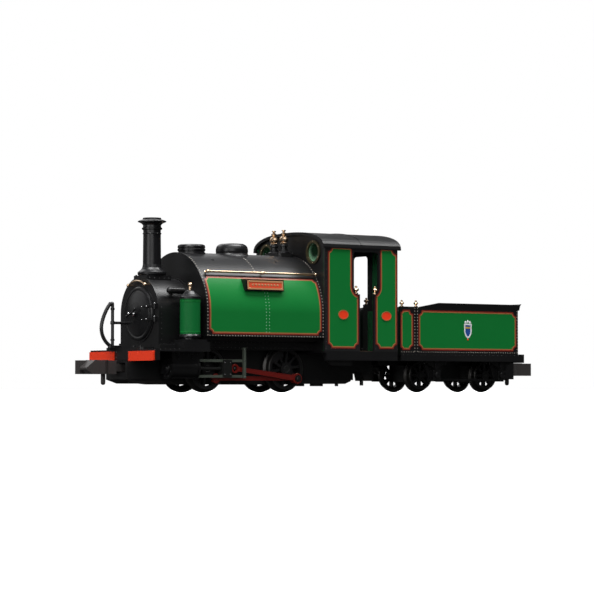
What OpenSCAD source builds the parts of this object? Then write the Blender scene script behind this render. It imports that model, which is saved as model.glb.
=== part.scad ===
// Small narrow-gauge saddle-tank locomotive with a four-wheeled tender, as a 9 mm gauge model.
// X runs forward along the track, Y to the engine's left, Z up. The origin is under the middle
// of the whole train, at the lowest point of the wheel flanges.

/* [Gauge and wheels] */
// Back-to-back distance of every wheelset
back_to_back = 7.4; // [7.3:0.05:7.5]
// Flange depth below the tread
flange = 0.5; // [0.4:0.05:0.5]
// Distance between the two coupled axles
wheelbase = 18; // [17.8:0.1:18.2]
// Tread diameter of the driving wheels
driver_dia = 8.1; // [8:0.05:8.2]
// Spokes in a driving wheel
driver_spokes = 10; // [8:1:12]
// Tread diameter of the tender wheels
tender_dia = 5.9; // [5.6:0.1:6]
// Distance between the tender axles
tender_base = 16.6; // [16:0.2:17]
// Axle diameter
axle_dia = 1.3; // [1.1:0.1:1.4]

/* [Motion] */
// Crank radius
crank = 2.4; // [2.2:0.05:2.4]
// Left crank's angle at rest, up from forward
crank_rest = -130; // [-150:5:-110]
// Connecting rod, pin to pin
con_length = 14.45; // [14.3:0.05:14.6]
// Teeth on the driving axle's gear
axle_teeth = 12; // [12:1:12]
// Teeth on the idler gear
idler_teeth = 28; // [28:1:28]
// Gear module
gear_module = 0.35; // [0.35:0.01:0.35]

/* [Boiler and tank] */
// Outer radius of the smokebox
smokebox_r = 6.89; // [6.6:0.05:7]
// Height of the boiler's centre above the rail
boiler_z = 14.3; // [14:0.1:14.6]
// Outer radius of the saddle tank
tank_r = 11.6; // [11.3:0.05:11.8]
// Front and rear of the saddle tank
tank_front = 13.1; // [12.9:0.1:13.2]
tank_rear = -13.6; // [-13.6:0.1:-13.4]
// Height of the tank's lower edge above the rail
tank_bottom = 10; // [9.8:0.1:10.2]
// Wall of the tank moulding
tank_wall = 0.9; // [0.6:0.1:1.1]
// Height of the chimney's rim above the rail
chimney_top = 32.4; // [31:0.2:33]

/* [Cab] */
// Half-width over the cab sides and footplates
half_w = 11.85; // [11.7:0.05:11.9]
// Thickness of the cab plates
plate = 0.6; // [0.5:0.05:0.7]
// Rear of the cab
cab_rear_x = -31; // [-31.1:0.1:-30.8]
// Top of the cab roof above the rail
roof_top = 30.75; // [30.4:0.05:31]

/* [Tender] */
// Front and rear of the tender footplate
tender_front = -31.9; // [-32.1:0.1:-31.8]
tender_rear = -63.2; // [-63.6:0.1:-63]
// Top of the tender's side plates above the rail
tender_top = 16.4; // [16:0.1:16.8]

/* [Couplers] */
// Front coupler's end, forward of the middle of the coupled wheelbase
front_end = 33.2; // [33:0.1:33.6]
// Rear coupler's end, behind the same point
rear_end = 73.2; // [72.8:0.1:73.6]

/* [Hidden] */
$fn = 48;
e = 0.01;

// The shift from rail coordinates to the origin under the middle of the train
xs = (rear_end - front_end) / 2;
zs = flange;

// Wheel and motion geometry
rd = driver_dia / 2;
zd = rd;                         // driving axle height above the rail
rt = tender_dia / 2;
ra = axle_dia / 2;
xf = wheelbase / 2;              // front axle
xr = -wheelbase / 2;             // rear axle
wi = back_to_back / 2;           // wheel inner face
wo = wi + 1.65;                  // wheel outer face
yb = wo + 0.15;                  // crank boss face
yc0 = 5.62; yc1 = 6.02;          // coupling rod faces
yr0 = 6.5;  yr1 = 7.0;           // connecting rod faces
yp = (yr0 + yr1) / 2;            // piston axis
pin_r = 0.4;                     // crank pin radius
ang_l = crank_rest;              // crank angles at rest; the right side is a quarter turn ahead
ang_r = crank_rest + 90;
function px(a) = crank * cos(a);
function pz(a) = crank * sin(a);
function small_x(a) = xr + px(a) + sqrt(con_length * con_length - pz(a) * pz(a));
function rod_tilt(a) = asin(pz(a) / con_length);
x0m = 5.3;                       // middle of the gudgeon's travel, for the fixed parts
bar_top = zd + 1.22; bar_bot = zd - 1.22;

// Gear train
m = gear_module;
r_ax = m * axle_teeth / 2;
r_id = m * idler_teeth / 2;
id_dx = -2.2;                    // idler centre, behind the front axle
id_x = xf + id_dx;
id_z = zd + sqrt(pow(r_ax + r_id, 2) - id_dx * id_dx);
worm_r = 1.05;                   // worm pitch radius
worm_z = id_z + r_id + worm_r;
worm_pitch = m * PI;

// Tender
xt1 = -41.8; xt2 = xt1 - tender_base;
drawpin_loco = -28.4; drawpin_tender = -34.2;
fc = 21.4;                       // front coupler's pivot
rc = rear_end - (front_end - fc);// rear coupler's pivot, behind the origin

module at() translate([xs, 0, zs]) children();
module both() { children(); mirror([0, 1, 0]) children(); }
// extrusions of an X-Z outline along Y, of a Y-Z outline along X, and round bars along each axis
module ext_y(y0, y1) translate([0, y1, 0]) rotate([90, 0, 0]) linear_extrude(y1 - y0) children();
module ext_x(x0, x1) translate([x0, 0, 0]) rotate([90, 0, 90]) linear_extrude(x1 - x0) children();
module cy(x, z, r, y0, y1) translate([x, y1, z]) rotate([90, 0, 0]) cylinder(h = y1 - y0, r = r);
module cx(y, z, r, x0, x1) translate([x0, y, z]) rotate([0, 90, 0]) cylinder(h = x1 - x0, r = r);
module cz(x, y, r, z0, z1) translate([x, y, z0]) cylinder(h = z1 - z0, r = r);
module bx(x0, x1, y0, y1, z0, z1) translate([x0, y0, z0]) cube([x1 - x0, y1 - y0, z1 - z0]);
// outline with rounded corners, as a union of exact shapes
module rrect(x0, x1, z0, z1, r) {
  translate([x0 + r, z0]) square([x1 - x0 - 2 * r, z1 - z0]);
  translate([x0, z0 + r]) square([x1 - x0, z1 - z0 - 2 * r]);
  for (x = [x0 + r, x1 - r], z = [z0 + r, z1 - r]) translate([x, z]) circle(r);
}
// bar between two points of a plane
module strut(a, b, w0, w1) {
  L = norm(b - a); t = atan2(b[1] - a[1], b[0] - a[0]);
  translate(a) rotate(t) polygon([[0, -w0 / 2], [L, -w1 / 2], [L, w1 / 2], [0, w0 / 2]]);
}
// straight round bar between two points
module rod3(a, b, r) {
  d = b - a; L = norm(d);
  translate(a) rotate([0, acos(d[2] / L), atan2(d[1], d[0])]) cylinder(h = L, r = r);
}
// handrail knob: ball, standing off along +Y
module knob_y(x, y, z, y0, r) { translate([x, y, z]) sphere(r); cy(x, z, r * 0.45, y0, y); }
// turned acorn knob standing on z
module acorn(x, y, z, s) translate([x, y, z]) rotate_extrude()
  polygon([[0, 0], [0.42 * s, 0], [0.42 * s, 0.12 * s], [0.24 * s, 0.2 * s], [0.24 * s, 0.42 * s], [0.5 * s, 0.62 * s],
           [0.55 * s, 0.82 * s], [0.42 * s, 1.02 * s], [0.16 * s, 1.12 * s], [0.26 * s, 1.3 * s], [0.2 * s, 1.46 * s], [0, 1.5 * s]]);

/* ---------- chassis ---------- */
// Cast block between the wheels, with open-bottomed axle slots, a gear slot and the coupler pockets
module chassis_block() color("dimgray") at() {
  // drawbar's pin and its head, under the rear shelf
  cz(drawpin_loco, 0, 0.5, 3.3, 4.9);
  cz(drawpin_loco, 0, 0.95, 3.2, 3.5);
  difference() {
  union() {
    bx(-26.5, 22.2, -3.2, 3.2, 1.95, 7.1);
    bx(-9, 12.4, -3.2, 3.2, 7.1, 8.6);
    bx(18.8, 23.3, -3.9, 3.9, 1.95, 6.4);
    bx(23.3, 25.6, -3.9, 3.9, 1.95, 5.38);
    bx(14.1, 18.4, -5.5, 5.5, 3.0, 7.1);
    bx(-31, -26.5, -3.2, 3.2, 4.75, 5.7);
    for (y = [-3.2, 2.6]) bx(-31, -26.5, y, y + 0.6, 3.45, 5.7);
    // motor cradle
    bx(-11.5, -9, -2.2, 2.2, 7.1, worm_z - 4.91);
    bx(-1.8, -0.6, -2.2, 2.2, 7.1, worm_z - 4.91);
  }
  for (x = [xf, xr]) {
    cy(x, zd, ra + 0.05, -4, 4);
    bx(x - ra - 0.05, x + ra + 0.05, -4, 4, 1, zd);
  }
  // gear slot
  cy(xf, zd, r_ax + m + 0.35, -0.75, 0.75);
  bx(xf - r_ax - m - 0.35, xf + r_ax + m + 0.35, -0.75, 0.75, 1, zd);
  cy(id_x, id_z, r_id + m + 0.35, -0.75, 0.75);
  // front coupler pocket, open forward
  bx(19.6, 26, -3.1, 3.1, 3.3, 5.1);
  cz(fc, 0, 0.65, 1.9, 3.4);
  // screw holes from below
  for (x = [-17, 4.2]) cz(x, 0, 0.5, 1.5, 5.2);
  }
}
// Clip-on bottom plate that holds the axles in, with the ashpan behind and the pocket floor in front
module keeper_plate() color("#1b1b1d") at() difference() {
  union() {
    ext_y(-3.4, 3.4) polygon([[-24.4, 1.2], [-12.6, 1.2], [-12.6, 1.05], [17.4, 1.05], [19, 1.2], [23.6, 1.2], [25.9, 1.95], [-25.8, 1.95], [-25.8, 1.75]]);
    cz(fc, 0, 0.58, 1.9, 5.0);
    for (y = [-2.6, 2.6]) cz(-22.9, y, 0.35, 0.75, 1.3);
    bx(-18.4, -16.9, 2.0, 3.2, 0.75, 1.3);
    bx(-18.4, -16.9, -3.2, -2.0, 0.75, 1.3);
  }
  bx(xf - 2.3, xf + 2.3, -0.75, 0.75, 0.5, 2.2);
  for (x = [-17, 4.2]) { cz(x, 0, 0.62, 0.9, 2.1); cz(x, 0, 1.15, 0.9, 1.5); }
}
module chassis_screws() color("silver") at() for (x = [-17, 4.2]) difference() {
  union() { cz(x, 0, 0.5, 1.45, 4.6); cz(x, 0, 1.0, 1.2, 1.6 - 0.1); }
  bx(x - 0.7, x + 0.7, -0.12, 0.12, 1.1, 1.38);
}
// Front running plate with the beam, the smokebox's front step, the ledges and the sandbox stands
module front_deck() color("#17171a") at() {
    bx(12.5, 24.4, -half_w, half_w, 7.1, 7.5);
    bx(23.4, 24.4, -half_w, half_w, 5.5, 7.5);
    ext_z_round(21, 24.35, 6.6, 7.5, 7.95);
    both() {
      bx(17.2, 21.8, 7.1, 9.2, 7.5, 8.35);
      bx(12.5, 18.2, 7.1, 11.75, 7.5, 8.9);
      bx(13, 17.8, 7.6, 11.6, 8.9, 9.35);
    }
    // hose clip and bolts on the step
    bx(24.4, 25.5, -3.3, -2.7, 7.4, 7.9);
    for (y = [-5.4, 3, 5.4]) translate([23.6, y, 7.9]) cylinder(h = 0.35, r = 0.28, $fn = 6);
}
module ext_z_round(x0, x1, w, z0, z1) translate([0, 0, z0]) linear_extrude(z1 - z0) {
  translate([x0, -w]) square([x1 - x0 - 0.9, 2 * w]);
  translate([x0, -w + 0.9]) square([x1 - x0, 2 * w - 1.8]);
  for (y = [-w + 0.9, w - 0.9]) translate([x1 - 0.9, y]) circle(0.9);
}
// Painted pads on the front beam
module beam_pads() color("#e03a20") at() both() ext_x(24.4, 24.8) rrect(2.85, 11.6, 5.4, 7.2, 0.12);
// Cab floor with its valances, front brackets and steps
module cab_footplate() color("#17171a") at() {
  difference() {
    union() {
      bx(cab_rear_x, -13.6, -half_w, half_w, 7.1, 7.5);
      both() {
        bx(cab_rear_x, -13.9, half_w - 0.7, half_w, 5.7, 7.3);
        // rounded hanging bracket at the front of each valance
        ext_y(half_w - 1.3, half_w - 0.7) {
          translate([-20.5, 4.7]) square([4.2, 2.4]);
          intersection() { translate([-16.3, 7.1]) circle(2.4); translate([-16.3, 4.5]) square([3, 2.6]); }
        }
      }
      bx(cab_rear_x, cab_rear_x + 0.6, -half_w + 0.5, half_w - 0.5, 5.7, 7.3);
    }
    bx(cab_rear_x - 1, cab_rear_x + 1, -3.2, 3.2, 4, 6.2);
  }
}
/* ---------- boiler, smokebox and tank ---------- */
// Boiler barrel, firebox and the skirt under the tank, hollow for the drive
module boiler_casing() color("#1c1c1f") at() difference() {
  union() {
    cx(0, boiler_z, 6.3, -13.6, 13.1);
    bx(-13.6, 12.5, -7.2, 7.2, 7.6, 10.6);
    bx(-13.6, 12.5, -9.4, 9.4, 9.3, 10.9);
  }
  // open inside for the motor, the gears and the wheel tops
  cx(0, boiler_z + 1.2, 5.3, -12.9, 12.2);
  bx(-12.9, 12.2, -5.3, 5.3, 8.8, boiler_z + 1.2);
  bx(-12.9, 12.2, -6.2, 6.2, 6.5, 9.3);
  bx(-14, 13.6, -3.3, 3.3, 6.5, 8.9);
  bx(-13.0, 12.2, -12, 12, 18, 22);
}
module smokebox_outline(r) { translate([0, boiler_z]) circle(r); translate([-r, 7.5]) square([2 * r, boiler_z - 7.5]); }
module smokebox() color("#1c1c1f") at() {
  difference() {
    union() {
      ext_x(13.1, 20.35) smokebox_outline(smokebox_r - 0.16);
      ext_x(20.35, 20.7) smokebox_outline(smokebox_r);
      ext_x(13.1, 13.4) smokebox_outline(smokebox_r);
      // chimney seat
      bx(15.2, 20.5, -2.4, 2.4, boiler_z + 5.5, 21.5);
      for (x = [15.55, 20.15], y = [-2.1, 2.1]) translate([x, y, 21.45]) cylinder(h = 0.22, r = 0.2, $fn = 6);
      // side lubricators
      both() {
        cx(6.9, 18.5, 0.62, 15.4, 18.3);
        translate([18.3, 6.9, 18.5]) sphere(0.62);
        cy(17.0, 18.5, 0.4, 4.8, 6.9);
      }
      // side bolts low on the smokebox
      both() for (x = [14.6, 17, 19.4]) cy(x, 8.4, 0.2, 6.5, 6.95);
    }
    ext_x(13, 20) difference() { smokebox_outline(smokebox_r - 1.1); translate([-8, 6]) square([16, 2.2]); }
    cx(0, boiler_z, 4.3, 19.5, 21);
    cz(17.97, 0, 1.2, 18, 22);
    bx(13, 21, -8, 8, 6, 7.5);
  }
}
// Domed door with rim, two hinge straps and the two-handled dart
module smokebox_door() color("#1c1c1f") at() {
  translate([20.7, 0, boiler_z]) rotate([0, 90, 0]) rotate_extrude()
    polygon([[0, -0.6], [4.25, -0.6], [4.25, 0], [5.05, 0], [5.05, 0.22], [4.85, 0.4], [4.6, 0.42], [4.35, 0.36], [4.0, 0.52], [3.2, 0.72], [2.2, 0.9], [1.1, 1.02], [0, 1.06]]);
  for (z = [boiler_z - 1.15, boiler_z + 1.25]) {
    ext_y(-0.5, 4.6) polygon([[21.5, z - 0.18], [21.5, z + 0.18], [20.9, z + 0.18], [20.9, z - 0.18]]);
    hull() { bx(21.0, 21.35, 4.4, 4.9, z - 0.18, z + 0.18); bx(20.7, 21.05, 5.9, 6.3, z - 0.18, z + 0.18); }
    cz(21.1, 6.1, 0.2, z - 0.5, z + 0.5);
    bx(20.7, 21.15, 5.95, 6.25, z - 0.5, z + 0.5);
  }
  cx(0, boiler_z, 0.55, 21.5, 22.1);
  cx(0, boiler_z, 0.2, 22, 23.1);
  for (k = [[22.35, 38], [22.8, 205]]) translate([k[0], 0, boiler_z]) rotate([k[1], 0, 0]) {
    rotate([-90, 0, 0]) cylinder(h = 1.35, r1 = 0.13, r2 = 0.17);
    rotate([0, 90, 0]) translate([0, 0, -0.16]) cylinder(h = 0.32, r = 0.3);
    translate([0, 1.35, 0]) sphere(0.24);
  }
}
// Curved rail over the door on two ball knobs
module door_handrail() color("#c9a45c") at() {
  n = 8; rr = 6.15; a0 = -29; a1 = 29;
  intersection() {
    translate([21.35, 0, boiler_z]) rotate([0, 90, 0]) rotate_extrude() translate([rr, 0]) circle(0.16);
    ext_x(20.5, 22) translate([0, boiler_z]) polygon([[0, 0], [12 * sin(a0), 12 * cos(a0)], [12 * sin(a1), 12 * cos(a1)]]);
  }
  for (a = [a0, a1]) { translate([21.35, rr * sin(a), boiler_z + rr * cos(a)]) sphere(0.34); cx(rr * sin(a), boiler_z + rr * cos(a), 0.16, 20.7, 21.35); }
}
module chimney() color("#1a1a1c") at() translate([17.97, 0, 0]) rotate_extrude()
  polygon([[1.25, 21.5], [2.5, 21.5], [2.7, 21.75], [2.72, 22.1], [2.45, 22.35], [2.1, 22.6], [1.85, 23.0], [1.72, 23.6],
           [1.66, 30.1], [1.72, 30.12], [1.92, 30.25], [1.92, 30.5], [1.72, 30.62], [1.7, 31.0], [1.95, 31.3], [2.35, 31.5], [2.68, 31.62],
           [2.68, 31.78], [2.3, 31.95], [1.78, 32.1], [1.7, chimney_top], [1.35, chimney_top], [1.25, chimney_top - 0.3]]);
// Saddle-tank outline: a round crown, with upright sides below the centre
module tank_outline(r) { intersection() { translate([0, 14.5]) circle(r); translate([-r, 14.5]) square([2 * r, r + 1]); } translate([-r, tank_bottom]) square([2 * r, 14.5 - tank_bottom]); }
module saddle_tank() color("#1f7a3a") at() {
  difference() {
    union() {
      ext_x(tank_rear, tank_front) tank_outline(tank_r);
      // valve turret on the crown
      translate([-10.95, 0, 20]) linear_extrude(6.6) rrect_c(3.6, 5.6, 0.8);
      for (y = [-1.7, 1.7]) cz(-10.95, y, 0.8, 26, 27.4);
    }
    ext_x(tank_rear + 0.7, tank_front - 0.7) tank_outline(tank_r - tank_wall);
    // saddle space for the boiler and its casing
    cx(0, boiler_z, 6.36, -14, 14);
    bx(-14, 14, -6.36, 6.36, 5, boiler_z);
    bx(-14, 12.56, -9.46, 9.46, 5, 10.96);
    bx(-12.2, -9.7, -2.2, 2.2, 20, 25.4);
  }
}
module rrect_c(l, w, r) translate([-l / 2, -w / 2]) rrect(0, l, 0, w, r);
// Stepped round lid on a ring, on the tank's crown
module filler_lid() color("#1a1a1c") at() difference() {
  translate([9.2, 0, 0]) rotate_extrude() polygon([[0, 25.3], [2.7, 25.3], [2.66, 26.1], [2.5, 26.2], [2.5, 26.4], [2.66, 26.5], [2.66, 26.8], [2.54, 26.9], [2.54, 27.0], [2.64, 27.08], [2.62, 27.35], [2.5, 27.56], [2.2, 27.68], [0, 27.7]]);
  cx(0, 14.5, tank_r, 4, 14);
}
// Low dome with a flared skirt
module dome() color("#1a1a1c") at() difference() {
  translate([0, 0, 0]) rotate_extrude() polygon([[0, 25.0], [3.5, 25.0], [3.5, 25.6], [3.2, 25.9], [3.05, 26.2], [3.12, 26.6], [3.1, 27.1], [2.95, 27.55], [2.65, 27.88], [2.2, 28.08], [1.2, 28.17], [0, 28.2]]);
  cx(0, 14.5, tank_r, -5, 5);
}
// Long grab rails on three ball knobs a side
module tank_handrails() color("#c9a45c") at() both() difference() {
  union() {
  cx(9.55, 22.15, 0.22, -13.1, 11.8);
  for (x = [-12.95, -0.8, 11.6]) { translate([x, 9.55, 22.15]) sphere(0.36); rod3([x, 9.55, 22.15], [x, 8.5, 22.15], 0.15); }
  }
  cx(0, 14.5, tank_r, -14, 14);
}
// Blank nameplates on wedge-shaped backings
module nameplates() color("#d8432a") at() both() intersection() {
  union() {
    ext_x(-4.35, 4.35) polygon([[9.6, 18.65], [11.45, 18.65], [11.3, 20.85], [9.6, 20.85]]);
    ext_x(-4.05, 4.05) polygon([[11, 18.9], [11.58, 18.9], [11.44, 20.6], [11, 20.6]]);
  }
  difference() { bx(-6, 6, 0, 14, 18, 22); cx(0, 14.5, tank_r, -6, 6); }
}
module sandboxes() color("#1f7a3a") at() both() cz(15.6, 9.75, 1.9, 10.35, 16.9);
module sandbox_caps() color("#1a1a1c") at() both() {
  translate([15.6, 9.75, 0]) rotate_extrude() polygon([[0, 9.35], [1.6, 9.35], [1.6, 9.6], [2.05, 9.75], [2.05, 10.05], [1.85, 10.35], [0, 10.35]]);
  translate([15.6, 9.75, 0]) rotate_extrude() polygon([[0, 16.9], [2.02, 16.9], [2.02, 17.25], [1.85, 17.35], [1.4, 17.75], [0.9, 18.3], [0.45, 18.55], [0, 18.6]]);
}
module sandbox_finials() color("#c9a45c") at() both() {
  cz(15.6, 9.75, 0.32, 18.6, 18.9);
  cz(15.6, 9.75, 0.2, 18.9, 19.4);
  translate([15.6, 9.75, 19.5]) sphere(0.45);
  translate([15.6, 9.75, 18.95]) sphere(0.36);
}
// Standpipe with its swan neck, and the flexible hose looped down to the clip on the beam.
// The hose is two arcs in the plane y = -3; d is half an arc's turn.
module hose_arc(p0, p1, d, r) {
  c = norm(p1 - p0); R = c / (2 * sin(d)); u = (p1 - p0) / c;
  o = (p0 + p1) / 2 + R * cos(d) * [u[1], -u[0]];
  translate([o[0], -3, o[1]]) rotate([90, 0, 0]) rotate([0, 0, atan2(p0[1] - o[1], p0[0] - o[0]) - 2 * d])
    rotate_extrude(angle = 2 * d) translate([R, 0]) circle(r);
}
hose_top = [25.15, 16.3]; hose_mid = [27.1, 12.3]; hose_low = [25.2, 8.25];
module brake_hose() color("#202022") at() {
  cz(24.75, -3, 0.3, 8.0, 16.1);
  bx(24.41, 25.1, -3.35, -2.65, 7.9, 8.3);
  translate([24.9, -3, 16.15]) sphere(0.42);
  hose_arc(hose_top, hose_mid, 14, 0.33);
  hose_arc(hose_mid, hose_low, 35.6, 0.33);
  cx(-3, 12.6, 0.26, 21.42, 24.75);
  cz(24.75, -3, 0.42, 12.3, 12.9);
  cz(25.25, -3, 0.44, 7.9, 8.45);
}
module safety_valves() color("#c9a45c") at() for (y = [-1.7, 1.7]) translate([-10.95, y, 0]) rotate_extrude()
  polygon([[0, 27.4], [0.62, 27.4], [0.62, 27.75], [0.86, 27.9], [0.86, 28.3], [0.6, 28.45], [0.52, 28.7], [0.82, 28.95], [0.9, 29.3],
           [0.8, 29.65], [0.45, 29.85], [0.3, 30.0], [0.5, 30.25], [0.52, 30.5], [0.3, 30.65], [0.2, 30.8], [0.42, 30.95], [0.42, 31.1], [0, 31.15]]);
/* ---------- cab ---------- */
// Roof line: half-width w, springing at z0, crown at z1
function roof_line(w, z0, z1) = [for (t = [-90:7.5:90]) let (y = w * sin(t)) [y, z0 + (z1 - z0) * pow(max(0, 1 - pow(abs(sin(t)), 2.3)), 1 / 2.3)]];
module roof_outline(d) polygon(concat(roof_line(12.1 - d, 27.5, roof_top - d), [[12.1 - d, 27.3], [-12.1 + d, 27.3]]));
spec_z = 26.6;                   // middle of the round windows
// Front sheet with the two round windows, cut round the boiler
module cab_front() color("#17171a") at() difference() {
  ext_x(-14.2, -13.6) difference() {
    union() { polygon(concat(roof_line(11.25, 27.3, roof_top - 0.62), [[11.25, 7.5], [-11.25, 7.5]])); }
    for (y = [-8, 8]) translate([y, spec_z]) circle(2.05);
    translate([0, boiler_z]) circle(4.4);
  }
}
module spectacle_rims() color("#c9a45c") at() both() difference() {
  union() { cx(8, spec_z, 2.3, -13.6, -13.35); cx(8, spec_z, 2.05, -14.25, -13.35); }
  cx(8, spec_z, 1.8, -15, -13);
}
module spectacle_glass() color([0.8, 0.9, 0.85, 0.4]) at() both() cx(8, spec_z, 1.8, -14.1, -13.75);
// Side outline with the doorway: wide above the waist, narrow below
door_f = -20.3; door_r = -26.4; door_fl = -21.9; door_rl = -25.3; waist = 18.5; door_top = 26.75;
module doorway() {
  rrect(door_r, door_f, waist + 2, door_top, 0.7);
  translate([door_r, waist + 1.5]) square([door_f - door_r, 2.5]);
  translate([door_r + 1.5, waist]) square([door_f - door_r - 3, 4]);
  for (x = [door_r + 1.5, door_f - 1.5]) translate([x, waist + 1.5]) circle(1.5);
  translate([door_rl, 7]) square([door_fl - door_rl, 13]);
}
module cab_side() ext_y(half_w - plate, half_w) difference() {
  rrect(cab_rear_x, -13.6, 7.5, 28.0, 0.05);
  doorway();
}
module cab_side_left() color("#1b6b36") at() cab_side();
module cab_side_right() color("#1b6b36") at() mirror([0, 1, 0]) cab_side();
// Back sheet with the keyhole opening to the tender
module cab_back() color("#1b6b36") at() ext_x(cab_rear_x, cab_rear_x + 0.5) difference() {
  polygon(concat(roof_line(11.25, 27.3, roof_top - 0.62), [[11.25, 7.5], [-11.25, 7.5]]));
  rrect(-2.6, 2.6, 17, 26.6, 0.8);
  translate([-2.6, 17]) square([5.2, 2]);
  translate([-1.1, 7]) square([2.2, 11]);
}
// One bent roof sheet with its rain strips and the middle seam
module cab_roof() color("#1a1a1c") at() difference() {
  union() {
    ext_x(-31.7, -13.05) roof_outline(0);
    ext_x(-22.4, -22.0) roof_outline(-0.06);
  }
  ext_x(-33, -12) polygon(concat(roof_line(11.5, 27.3, roof_top - 0.6), [[11.5, 26], [-11.5, 26]]));
  for (s = [-1, 1]) scale([1, s, 1]) bx(-31.0, -13.6, 11.2, 11.9, 27, 28.05);
}
module cab_knobs() color("#d6c79a") at() {
  both() for (x = [-21.15, -25.7]) difference() { acorn(x, half_w - plate / 2, waist + 0.1, 1.05); cab_side(); }
  for (y = [-1.85, 1.85]) acorn(cab_rear_x + 0.25, y, 17, 0.9);
}
// Boiler backplate with the firehole, regulator, gauge glasses and manifold, and the floor step
module backhead() color("#2b2b2e") at() {
  difference() {
    union() {
      ext_x(-15.6, -14.2) { translate([0, 14.3]) circle(5.6); translate([-5.6, 7.5]) square([11.2, 6.8]); }
      cx(0, 11.2, 1.7, -15.95, -15.6);
      cx(0, 17.2, 0.5, -16.3, -15.6);
      for (y = [-3.2, 3.2]) { cz(-15.95, y, 0.25, 14.6, 17.8); bx(-16, -15.6, y - 0.3, y + 0.3, 14.6, 14.9); bx(-16, -15.6, y - 0.3, y + 0.3, 17.5, 17.8); }
      bx(-15.9, -15.6, -1.6, 1.6, 19, 19.4);
      rod3([-16.1, 0, 17.2], [-16.1, 2.6, 18.4], 0.18);
    }
    cx(0, 11.2, 1.2, -16.2, -15.75);
  }
}
/* ---------- cylinders and motion ---------- */
module cylinders() color("#1a1a1c") at() both() difference() {
  union() {
    intersection() {
      union() { cx(yp, zd, 1.9, 12.6, 18.8); cx(yp, zd, 2.05, 12.6, 13.0); cx(yp, zd, 2.05, 18.4, 18.8); bx(12.7, 18.7, 5.55, 8.45, zd, 7.1); bx(12.7, 18.7, 5.55, 7.6, zd - 1.9, zd); }
      bx(12, 19, 5.55, 9, 2, 7.1);
    }
    cx(yp, zd, 0.68, 12.2, 12.7);
    cx(yp, zd, 1.2, 18.7, 19.0);
    cy(14.2, 6.1, 0.3, 8.4, 8.6); cy(17.3, 6.1, 0.3, 8.4, 8.6);
  }
  cx(yp, zd, 0.86, 13.0, 18.4);
  cx(yp, zd, 0.4, 12, 13.2);
}
// Two bars a side and the motion bracket outside them
module slide_bars() color("#6f7a66") at() both() {
  for (z = [bar_top, bar_bot - 0.5]) {
    bx(2.2, 12.6, yr0 - 0.2, yr1 + 0.4, z, z + 0.5);
    bx(1.95, 2.5, yr0 - 0.2, 7.95, z, z + 0.5);
  }
  bx(1.95, 2.5, 7.5, 7.95, bar_bot - 0.6, 8.0);
  bx(1.95, 2.5, 7.2, 7.6, 7.65, 8.0);
}
// Crosshead: slippers between the bars, cheeks outside them, and a thin lug behind the small end
module crosshead(a, ph) {
  s = small_x(a);
  difference() {
    union() {
      bx(s + 1.05, s + 3.3, 6.16, 7.5, bar_bot + 0.05, bar_top - 0.05);
      bx(s + 1.2, s + 3.1, 7.5, 7.72, bar_bot - 0.4, bar_top + 0.4);
      bx(s - 0.6, s + 1.1, 6.16, 6.38, zd - 0.6, zd + 0.6);
      cy(s - 0.1, zd, 0.7, 6.16, 6.38);
    }
    cx(yp, zd, 0.4, s, s + 4);
    cy(s, zd, 0.42, 6, 6.5);
  }
}
module crosshead_left() color("#26262a") at() crosshead(ang_l);
module crosshead_right() color("#26262a") at() mirror([0, 1, 0]) crosshead(ang_r);
// Piston rod with its piston, turned in one piece
module piston_rod(a) { s = small_x(a); cx(yp, zd, 0.34, s + 1.0, s + 10.3); cx(yp, zd, 0.8, s + 10.15, s + 10.5); }
module piston_rod_left() color("silver") at() piston_rod(ang_l);
module piston_rod_right() color("silver") at() mirror([0, 1, 0]) piston_rod(ang_r);
// Ball gudgeon in the connecting rod's small end
module gudgeon_left() color("silver") at() translate([small_x(ang_l), yp, zd]) sphere(0.4);
module gudgeon_right() color("silver") at() translate([small_x(ang_r), -yp, zd]) sphere(0.4);
module connecting_rod(a) {
  b = [xr + px(a), zd + pz(a)]; s = [small_x(a), zd];
  ext_y(yr0, yr1) difference() {
    union() { translate(b) circle(1.0); translate(s) circle(0.85); strut(b, s, 1.05, 0.8); }
    translate(b) circle(pin_r + 0.16);
    translate(s) circle(0.5);
  }
}
module connecting_rod_left() color("#9c1f1c") at() connecting_rod(ang_l);
module connecting_rod_right() color("#9c1f1c") at() mirror([0, 1, 0]) connecting_rod(ang_r);
module coupling_rod(a) ext_y(yc0, yc1) difference() {
  union() {
    for (x = [xf, xr]) translate([x + px(a), zd + pz(a)]) circle(0.92);
    translate([xr + px(a), zd + pz(a) - 0.42]) square([wheelbase, 0.84]);
  }
  for (x = [xf, xr]) translate([x + px(a), zd + pz(a)]) circle(pin_r + 0.05);
}
module coupling_rod_left() color("#9c1f1c") at() coupling_rod(ang_l);
module coupling_rod_right() color("#9c1f1c") at() mirror([0, 1, 0]) coupling_rod(ang_r);
/* ---------- wheels ---------- */
// One flanged wheel on the +Y side: tyre, rim, spokes and hub
module wheel(x, r, n, rim, hub, ph) {
  translate([x, wi, r]) rotate([-90, 0, 0]) difference() {
    union() {
      rotate_extrude() polygon([[r - rim, 0.2], [r - 0.15, 0], [r + flange - 0.12, 0], [r + flange, 0.14], [r + flange - 0.03, 0.32], [r + 0.12, 0.5],
                                [r, 0.62], [r - 0.06, wo - wi - 0.1], [r - 0.16, wo - wi], [r - rim, wo - wi]]);
      cylinder(h = wo - wi, r = hub);
      for (k = [0:n - 1]) rotate(ph + 360 * k / n) translate([0, -0.24, 0.45]) cube([r - rim + 0.1, 0.48, 0.85]);
    }
    translate([0, 0, -1]) cylinder(h = 4, r = ra);
  }
}
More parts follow.
